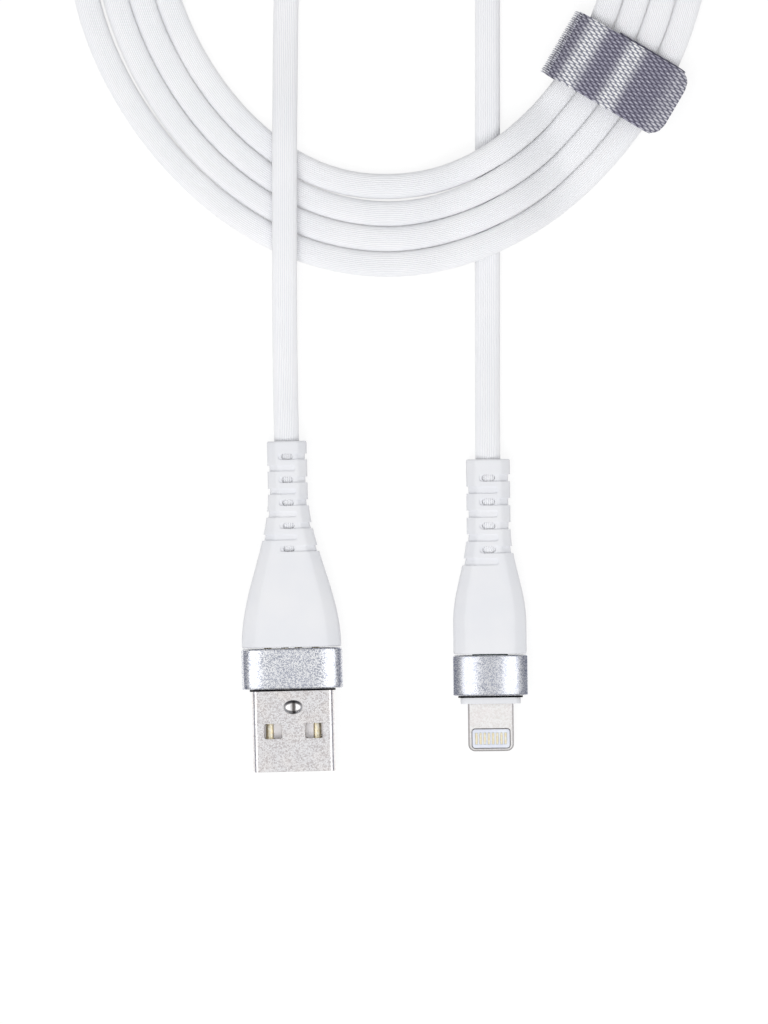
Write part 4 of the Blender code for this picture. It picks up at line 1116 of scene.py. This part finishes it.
WINDOW = (2.7 * MM, 2.2 * MM)
WINDOW_CORNER = 0.35 * MM
WINDOW_SPACING = 6.0 * MM
WINDOW_PLACE = -9.09 * MM
DIMPLE = (2.75 * MM, 1.95 * MM)
DIMPLE_PLACE = -5.59 * MM
DIMPLE_DEPTH = 0.36 * MM
DIMPLE_POWER = 2.5               # of its slope, so that its middle is flat
DIMPLE_HOLE = 1.02               # of the shell, beside the bowl's size
DIMPLE_RINGS = 16
DIMPLE_POINTS = 56
DIMPLE_RIM = ((1.03, 0.02), (1.08, 0.015), (1.1, -0.05))  # sizes, and mm over the face
DIMPLE_UNDER = (1.0, 0.85, 0.6, 0.3, 0.03)
# painted shade on the rolled rim and the bowl's underside
RIM_SHADE = 0.35
SEAM_PLACES = (-13.5 * MM, -10.5 * MM, -7.5 * MM, -4.5 * MM)
SEAM_TEETH = 0.45 * MM
SEAM_THIN = 0.03 * MM
SEAM_DEPTH = 0.1 * MM


def oval(size, height):
    """A level oval loop on the shell's broad face, where the bowl is pressed in."""
    across, along = (size * side / 2 for side in DIMPLE)
    loop = []
    for i in range(DIMPLE_POINTS):
        turn = 2 * math.pi * i / DIMPLE_POINTS
        loop.append(Vector((
            across * math.cos(turn), DIMPLE_PLACE + along * math.sin(turn), height
        )))
    return loop


def bowl_depth(size):
    """How deep the bowl is at a share of its size."""
    return DIMPLE_DEPTH * (1 - size ** DIMPLE_POWER)


def bowl_shade(size, turn):
    """Painted reflection in the bowl: a dark stripe along its middle, its rim and its far side."""
    aside, above = math.cos(turn), math.sin(turn)
    stripe = 0.9 * math.exp(-((size * aside - 0.08) / 0.2) ** 4)
    rim = ease((size - 0.88) / 0.12) * (0.35 + 0.4 * above)
    far_side = ease((above - 0.1) / 0.7) * ease((size - 0.5) / 0.3)
    return max(stripe, rim, 0.6 * far_side)


def make_dimple():
    """The pressed bowl, polished by the punch, with a rolled rim that closes its hole."""
    top = SHELL[1] / 2
    smallest = DIMPLE_UNDER[-1]
    sizes = [smallest + (1 - smallest) * i / DIMPLE_RINGS for i in range(DIMPLE_RINGS + 1)]
    inner = [oval(size, top - bowl_depth(size)) for size in sizes]
    rim = [oval(size, top + rise * MM) for size, rise in DIMPLE_RIM]
    under = [oval(size, top - SHELL_WALL - bowl_depth(size)) for size in DIMPLE_UNDER]
    bowl = solid("pressed_dimple", [inner + rim + under])
    turns = [2 * math.pi * k / DIMPLE_POINTS for k in range(DIMPLE_POINTS)]
    # the deep trait holds painted reflection and shade, not the bowl's depth
    shades = [bowl_shade(size, turn) for size in sizes for turn in turns]
    shades += [RIM_SHADE] * (DIMPLE_POINTS * len(rim + under))
    keep(bowl, "deep", shades)
    dress(bowl, "nickel_steel", "cable", (), WIDE_PLACE, sharp=60, finish="polished_steel_painted_reflection")


def seam_outline(stops):
    """The outline in plan of the thin toothed line where the shell's ends meet."""
    sides = {-1: [], 1: []}
    across = SEAM_TEETH
    for side, points in sides.items():
        points.append((across + side * SEAM_THIN, stops[0]))
    for stop in stops[1:-1]:
        for side, points in sides.items():
            along = stop + side * SEAM_THIN * (1 if across > 0 else -1)
            points.append((across + side * SEAM_THIN, along))
            points.append((-across + side * SEAM_THIN, along))
        across = -across
    for side, points in sides.items():
        points.append((across + side * SEAM_THIN, stops[-1]))
    return sides[1] + sides[-1][::-1]


def make_shell():
    """The rolled shell: windows on both broad faces, a pressed bowl, and its seam underneath."""
    mouth = SLEEVE_FRONT - SHELL_REACH
    back = SLEEVE_FRONT + SHELL_HIDDEN
    inner = [side - 2 * SHELL_WALL for side in SHELL]
    loops = [rounded_section(along, *SHELL, SHELL_CORNER) for along in (mouth, back)]
    loops += [
        rounded_section(along, *inner, SHELL_CORNER - SHELL_WALL) for along in (back, mouth)
    ]
    shell = solid("rolled_shell", [loops], ring=True)
    windows = []
    for side in (-1, 1):
        middle = (side * WINDOW_SPACING / 2, WINDOW_PLACE)
        windows.append(plate(rounded_plan(middle, *WINDOW, WINDOW_CORNER), -SHELL[1], SHELL[1]))
    cut(shell, solid("windows", windows))
    top, low = SHELL[1] / 2, -SHELL[1] / 2
    hole = [oval(DIMPLE_HOLE, height) for height in (top - 2 * SHELL_WALL, top + SHELL_WALL)]
    cut(shell, solid("hole", [hole]))
    seam = seam_outline((mouth - MM, *SEAM_PLACES, back + MM))
    cut(shell, solid("seam", [plate(seam, low - SEAM_DEPTH, low + SEAM_DEPTH)]))
    soften(shell, METAL_ROUNDING, angle=40)
    dress(shell, "nickel_steel", "cable", ("wide_plug_shell",), WIDE_PLACE, sharp=20)


CONTACTS = {"power": -3.5, "data_minus": -1.0, "data_plus": 1.0, "ground": 3.5}  # mm across
CONTACT_WIDTH = 1.1 * MM
CONTACT_RISE = 0.22 * MM
CONTACT_GAPS = (0.06 * MM, 0.04 * MM)  # at the nose and at the back
CONTACT_NOSE = (                 # how far back and how high in mm, with its share of the size
    (0.0, 0.35, -0.06), (0.25, 0.8, 0.0), (0.8, 1.0, 0.0),
)


def contact_section(middle, along, size, base, top):
    """A strip's section, with upright sides and a crowned top."""
    half, rise = CONTACT_WIDTH / 2 * size, CONTACT_RISE * size
    turns = [math.radians(180 - 15 * i) for i in range(13)]
    crown = [Vector((middle + half * math.cos(a), along, top + rise * math.sin(a))) for a in turns]
    return crown + [Vector((middle + half, along, base)), Vector((middle - half, along, base))]


def make_contacts():
    """Four gold strips, crowned across, whose noses dip under the tongue's front edge."""
    for kind, across in CONTACTS.items():
        node = "wide_plug_contact_" + kind
        low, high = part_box(node)
        base, top = (corner.z - WIDE_PLACE.translation.z for corner in (low, high))
        front, back = low.y + CONTACT_GAPS[0], high.y - CONTACT_GAPS[1]
        stops = [(front + run * MM, size, lift) for run, size, lift in CONTACT_NOSE]
        stops += [(front + (back - front) * i / 8, 1.0, 0.0) for i in range(1, 9)]
        strip = solid("gold_contact_" + kind, [[
            contact_section(across * MM, along, size, base, top + lift * MM)
            for along, size, lift in stops
        ]])
        dress(strip, "gold_plate", "cable", (node,), WIDE_PLACE, sharp=50)


make_shell()
make_dimple()
make_contacts()


# ---------------------------------------------------------------- slim plug's tab and collar

TAB_TIP = SLEEVE_FRONT - TAB_REACH
TAB_BACK = SLEEVE_FRONT + TAB_HIDDEN
BLOCK_PLACE = TAB_TIP + BLOCK_MARGIN + BLOCK[1] / 2


def tab_outline():
    """The tab in plan, with a rounded tip."""
    half = TAB[0] / 2
    outline = [(half, TAB_BACK), (-half, TAB_BACK)]
    for side, first in ((-1, 180), (1, 270)):
        for step in range(11):
            angle = math.radians(first + 9 * step)
            outline.append((
                side * (half - TAB_CORNER) + TAB_CORNER * math.cos(angle),
                TAB_TIP + TAB_CORNER + TAB_CORNER * math.sin(angle),
            ))
    return outline


def make_tab():
    """The thin steel tab with a rounded tip and an opening for the contact block."""
    thick = TAB[1] / 2
    tab = solid("steel_tab", [plate(tab_outline(), -thick, thick)])
    soften(tab, TAB_CHAMFER, 1, 60)
    recess = rounded_plan((0, BLOCK_PLACE), *BLOCK, BLOCK_CORNER)
    for side in (-1, 1):
        low, high = sorted((side * (thick - BLOCK_RECESS), side * MM))
        cut(tab, solid("recess", [plate(recess, low, high)]))
    slot_half, slot_thick = BOARD_SLOT[0] / 2, BOARD_SLOT[1] / 2
    front, back = SLEEVE_FRONT - BOARD_REACH, TAB_BACK + MM
    slot = [(-slot_half, front), (slot_half, front), (slot_half, back), (-slot_half, back)]
    cut(tab, solid("slot", [plate(slot, -slot_thick, slot_thick)]))
    soften(tab, METAL_ROUNDING, 2, 60)
    # painted shade for the finish: 0 on the broad faces, rising to 1 down the chamfers and walls
    heights = np.abs(places_of(tab)[:, 2])
    keep(tab, "edge", np.clip((thick - heights) / TAB_CHAMFER, 0, 1))
    dress(
        tab, "nickel_steel", "cable", ("slim_plug_tab_frame",), SLIM_PLACE, sharp=20,
        finish="pale_steel",
    )


def make_block():
    """The moulded block with a shallow pocket round each contact pad."""
    thick = TAB[1] / 2
    size = [side - 2 * BLOCK_GAP for side in BLOCK]
    outline = rounded_plan((0, BLOCK_PLACE), *size, BLOCK_CORNER - BLOCK_GAP)
    block = solid("contact_block", [plate(outline, -thick, thick)])
    pocket = [side + PAD_GAP for side in PAD]
    pockets = []
    for side in (-1, 1):
        for i in range(PAD_COUNT):
            across = (i - (PAD_COUNT - 1) / 2) * PAD_PITCH
            plan = rounded_plan((across, BLOCK_PLACE), *pocket, POCKET_CORNER, 4)
            pockets.append(plate(plan, side * (thick - POCKET_DEPTH), side * MM))
    cut(block, solid("pockets", pockets))
    soften(block, BLOCK_ROUNDING, 2, 40)
    dress(block, "pale_insulator", "cable", ("slim_plug_contact_block",), SLIM_PLACE, sharp=45)


def make_collar():
    """The white collar round the tab's root."""
    flange = [side - 2 * SLEEVE_WALL - COLLAR_ROOM for side in SLIM_SLEEVE]
    slit = [side + COLLAR_SLIT_GAP for side in TAB]
    front = SLEEVE_FRONT - COLLAR_REACH
    shoulder = SLEEVE_FRONT + COLLAR_SHOULDER
    sections = (
        (front, COLLAR, 1.0), (shoulder, COLLAR, 1.0), (shoulder, flange, 1.6),
        (TAB_BACK, flange, 1.6), (TAB_BACK, slit, 0.1), (front, slit, 0.1),
    )
    loops = [rounded_section(along, *size, corner * MM) for along, size, corner in sections]
    collar = solid("moulded_collar", [loops], ring=True)
    soften(collar, 0.12 * MM, 3, 50)
    dress(collar, "white_boot", "cable", ("slim_plug_collar",), SLIM_PLACE, sharp=40)


make_tab()
make_block()
make_collar()


# ---------------------------------------------------------------- strap

def strap_place():
    """The strap's middle and axes: out of the coil, along the strands, up."""
    middle, outward = lane_place(STRAP_ANGLE, COIL_EDGE + LANE_SPAN / 2)
    along = Vector((-outward.y, outward.x, 0.0))
    turn = Matrix((outward, along, Vector((0, 0, 1)))).transposed().to_4x4()
    return Matrix.Translation(middle) @ turn


STRAP_PLACE = strap_place()
STRAND_TOP = 4.6 * MM            # of the strands that the tape runs under
STRAND_ROOM = 0.3 * MM           # between them and the tape over them
LOWER_LAYER = STRAND_TOP + STRAND_ROOM + TAPE_THICKNESS / 2
TONGUE_HEIGHT = LOWER_LAYER + TAPE_THICKNESS + HOOK_ROOM
SHEEN_BANDS = (                  # of the painted sheen: place and spread in mm across the strands, and strength
    (-5.9, 1.5, 1.0), (0.65, 1.4, 1.0), (8.9, 1.9, 0.35), (-9.2, 0.9, 0.2),
)
EDGE_ROLL = 0.07                 # the share of half the tape's width that is rolled over
EDGE_THIN = 0.35                 # how thick the very edge is beside the rest
ACROSS_SHIFT = 50.0              # in mm, so that the floats are counted above 0
TONGUE_STATIONS = 60
TONGUE_DROOP = 0.25 * MM
TONGUE_RIPPLE = 0.1 * MM
RIPPLE_PITCH = 6.6 * MM
RIPPLE_START = 2.0 * MM
BEND_REACH = 1.6 * MM            # of the fold's bending part


def tape_path():
    """The tape's middle line round the strands, from its hidden end up to the tongue's fold."""
    low = TAPE_THICKNESS / 2
    outer_u = LANE_SPAN / 2 + STRAP_SLACK
    inner_u = -LANE_SPAN / 2 - INNER_SLACK
    start = LANE_SPAN / 2 - STRAP_OVERLAP

    def fold(middle, height, degrees):
        radius = (height - low) / 2
        return [
            (middle + radius * math.cos(a), low + radius + radius * math.sin(a))
            for a in map(math.radians, degrees)
        ]

    path = [(start + (outer_u - start) * i / 14, LOWER_LAYER) for i in range(14)]
    path += fold(outer_u, LOWER_LAYER, [90 - 10 * i for i in range(19)])
    path += [(outer_u + (inner_u - outer_u) * i / 18, low) for i in range(1, 18)]
    path += fold(inner_u, TONGUE_HEIGHT, [-90 - 7.5 * i for i in range(25)])
    return path


def tape_loops(path, widths, slips, across_steps=14):
    """Sections of the tape along a path, its long edges rolled over."""
    loops = []
    last = len(path) - 1
    for i, (u, z) in enumerate(path):
        before, after = path[max(i - 1, 0)], path[min(i + 1, last)]
        run = Vector((after[0] - before[0], after[1] - before[1])).normalized()
        out = Vector((-run.y, run.x))
        half = widths[i] / 2
        ring = []
        for face in (1, -1):
            for k in range(across_steps + 1):
                share = 2 * k / across_steps - 1
                past = max(0.0, (abs(share) - 1 + EDGE_ROLL) / EDGE_ROLL)
                rolled = math.sqrt(max(0.0, 1 - past ** 2))
                thick = face * TAPE_THICKNESS / 2 * (EDGE_THIN + (1 - EDGE_THIN) * rolled)
                v = face * share * half + slips[i]
                ring.append(Vector((u + out.x * thick, v, z + out.y * thick)))
        loops.append(ring)
    return loops


def add_weave(tape, path, start, per_loop):
    """Keep on each point how far along and across the tape it lies, in mm, and its painted sheen."""
    steps = [math.dist(before, after) for before, after in zip(path, path[1:])]
    runs = start + np.concatenate([[0.0], np.cumsum(steps)]) / MM
    u, v, height = places_of(tape).T
    sheen = np.zeros(len(u))
    for centre, spread, strength in SHEEN_BANDS:
        sheen = np.maximum(sheen, strength * np.exp(-np.abs((u / MM - centre) / spread) ** 3))
    keep(tape, "along", np.repeat(runs, per_loop))
    keep(tape, "across", v / MM + ACROSS_SHIFT)
    keep(tape, "sheen", sheen * (height > TONGUE_HEIGHT - TAPE_THICKNESS))
    return runs[-1]


def make_band():
    """The band round the four strands, from the hidden end to the tongue's fold."""
    path = tape_path()
    last = len(path) - 1
    slips = [STRAP_SKEW * (1 - i / last) for i in range(len(path))]
    loops = tape_loops(path, [STRAP_WIDTH] * len(path), slips)
    band = solid("woven_band", [loops])
    length = add_weave(band, path, 0.0, len(loops[0]))
    dress(band, "woven_silver", "strap", ("strap_band",), STRAP_PLACE, sharp=70)
    length * MM
    return path[-1], length


def make_tongue(fold, start):
    """The free tongue: flat over the turns, round at its tip, running on from the fold."""
    fold_u, fold_height = fold
    end = LANE_SPAN / 2 + TONGUE_OVERHANG
    path, widths = [], []
    for i in range(TONGUE_STATIONS + 1):
        run = (end - fold_u) * i / TONGUE_STATIONS
        u = fold_u + run
        past = max(0.0, u - (end - TONGUE_CORNER)) / TONGUE_CORNER
        narrower = TONGUE_CORNER * (1 - math.sqrt(max(0.0, 1 - past ** 2)))
        widths.append(STRAP_WIDTH - 2 * narrower)
        droop = TONGUE_DROOP * ease((u - LANE_SPAN / 2) / (3 * TONGUE_OVERHANG))
        wave = math.sin(2 * math.pi * run / RIPPLE_PITCH) * ease(run / RIPPLE_START)
        path.append((u, fold_height - droop + TONGUE_RIPPLE * wave))
    loops = tape_loops(path, widths, [0.0] * len(path))
    tongue = solid("woven_tongue", [loops])
    length = add_weave(tongue, path, start, len(loops[0]))
    dress(tongue, "woven_silver", None, ("strap_tongue",), STRAP_PLACE, sharp=70)
    bent = STRAP_PLACE @ Vector((fold_u + BEND_REACH, 0, fold_height))
    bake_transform(tongue)
    (length - start) * MM


HOOK_PITCH = 0.62 * MM
HOOK_BASE = 0.14 * MM
HOOK_GAP = 0.1 * MM              # between the base and the tongue
HOOK_MARGIN = 0.4 * MM           # to the tape's edges, and the corners of the base
HOOK_RINGS = (                   # radius, and depth under the base, in mm
    (0.09, -0.02), (0.07, 0.1), (0.07, 0.16), (0.15, 0.18), (0.12, 0.23),
)


def make_hooks():
    """The hook pad under the tongue: a thin base and rows of small mushroom hooks."""
    top = TONGUE_HEIGHT - TAPE_THICKNESS / 2 - HOOK_GAP
    low_u = LANE_SPAN / 2 - STRAP_OVERLAP + HOOK_MARGIN
    high_u = LANE_SPAN / 2 + STRAP_SLACK
    length, width = high_u - low_u, STRAP_WIDTH - 2 * HOOK_MARGIN
    middle = (low_u + high_u) / 2
    base = rounded_plan((middle, 0.0), length, width, HOOK_MARGIN, 4)
    bodies = [plate(base, top - HOOK_BASE, top)]
    rows, columns = int(length / HOOK_PITCH) - 1, int(width / HOOK_PITCH) - 1
    turns = [math.pi / 4 * k for k in range(8)]
    for row in range(rows):
        for column in range(columns):
            u = middle + (row - (rows - 1) / 2) * HOOK_PITCH
            v = (column - (columns - 1) / 2 + (row % 2 - 0.5) / 2) * HOOK_PITCH
            bodies.append([
                [
                    Vector((
                        u + radius * MM * math.cos(a), v + radius * MM * math.sin(a),
                        top - HOOK_BASE - depth * MM,
                    ))
                    for a in turns
                ]
                for radius, depth in HOOK_RINGS
            ])
    pad = solid("hook_pad", bodies)
    dress(pad, "hook_plastic", "tongue", ("strap_hook_pad",), STRAP_PLACE, sharp=50)


FRINGE_PITCH = 0.315 * MM
FRINGE_REACH = 0.72 * MM
FRINGE_ROWS = ((-12, 0.5, 0.8), (12, 0.0, 1.0), (34, 0.5, 0.75))  # degrees up, shift and reach
YARN_RADIUS = 0.075 * MM
YARN_TAPER = ((0.0, 1.0), (0.6, 1.0), (0.95, 0.7), (1.0, 0.3))  # along it, and its thickness
YARN_ROOT = 0.1 * MM             # deep in the tape
YARN_LEAN = 0.05 * MM
YARN_WAY = Vector((-1, 0, 0.12))


def make_fringe(fold):
    """A comb of short stiff yarn ends that stand out of the tape at its inner fold."""
    outer = TAPE_THICKNESS / 2
    radius = (TONGUE_HEIGHT - outer) / 2
    centre = Vector((fold[0], 0, outer + radius))
    count = int(STRAP_WIDTH / FRINGE_PITCH)
    turns = [math.pi / 3 * k for k in range(6)]
    yarns = []
    for level, shift, reach in FRINGE_ROWS:
        slant = math.radians(level)
        out = Vector((-math.cos(slant), 0, math.sin(slant)))
        up = Vector((math.sin(slant), 0, math.cos(slant)))
        ways = [math.cos(a) * Vector((0, 1, 0)) + math.sin(a) * up for a in turns]
        for i in range(count):
            v = (i - (count - 1) / 2 + shift - 0.25) * FRINGE_PITCH
            root = centre + out * (radius + outer - YARN_ROOT) + Vector((0, v, 0))
            lean = YARN_LEAN * math.sin(i * 2.1 + level)
            yarn = []
            for share, size in YARN_TAPER:
                place = root + YARN_WAY * share * reach * FRINGE_REACH
                place.y += lean * share
                yarn.append([place + YARN_RADIUS * size * way for way in ways])
            yarns.append(yarn)
    fringe = solid("yarn_fringe", yarns)
    dress(fringe, "woven_silver", "strap", (), STRAP_PLACE, sharp=60, finish="pale_yarn")


fold_point, band_length = make_band()
make_tongue(fold_point, band_length)
make_hooks()
make_fringe(fold_point)


# ---------------------------------------------------------------- pieces kept from the model

OWN_FINISHES = {"wide_plug_tongue": "white_insulator"}
SLOTS = {part["node"]: part["material_slot"] for part in frame["record"]["subparts"]}
for node, kept in NODES.items():
    if not kept.hide_render:
        kept.data.materials.clear()
        kept.data.materials.append(FINISHES[OWN_FINISHES.get(node, SLOTS[node])])
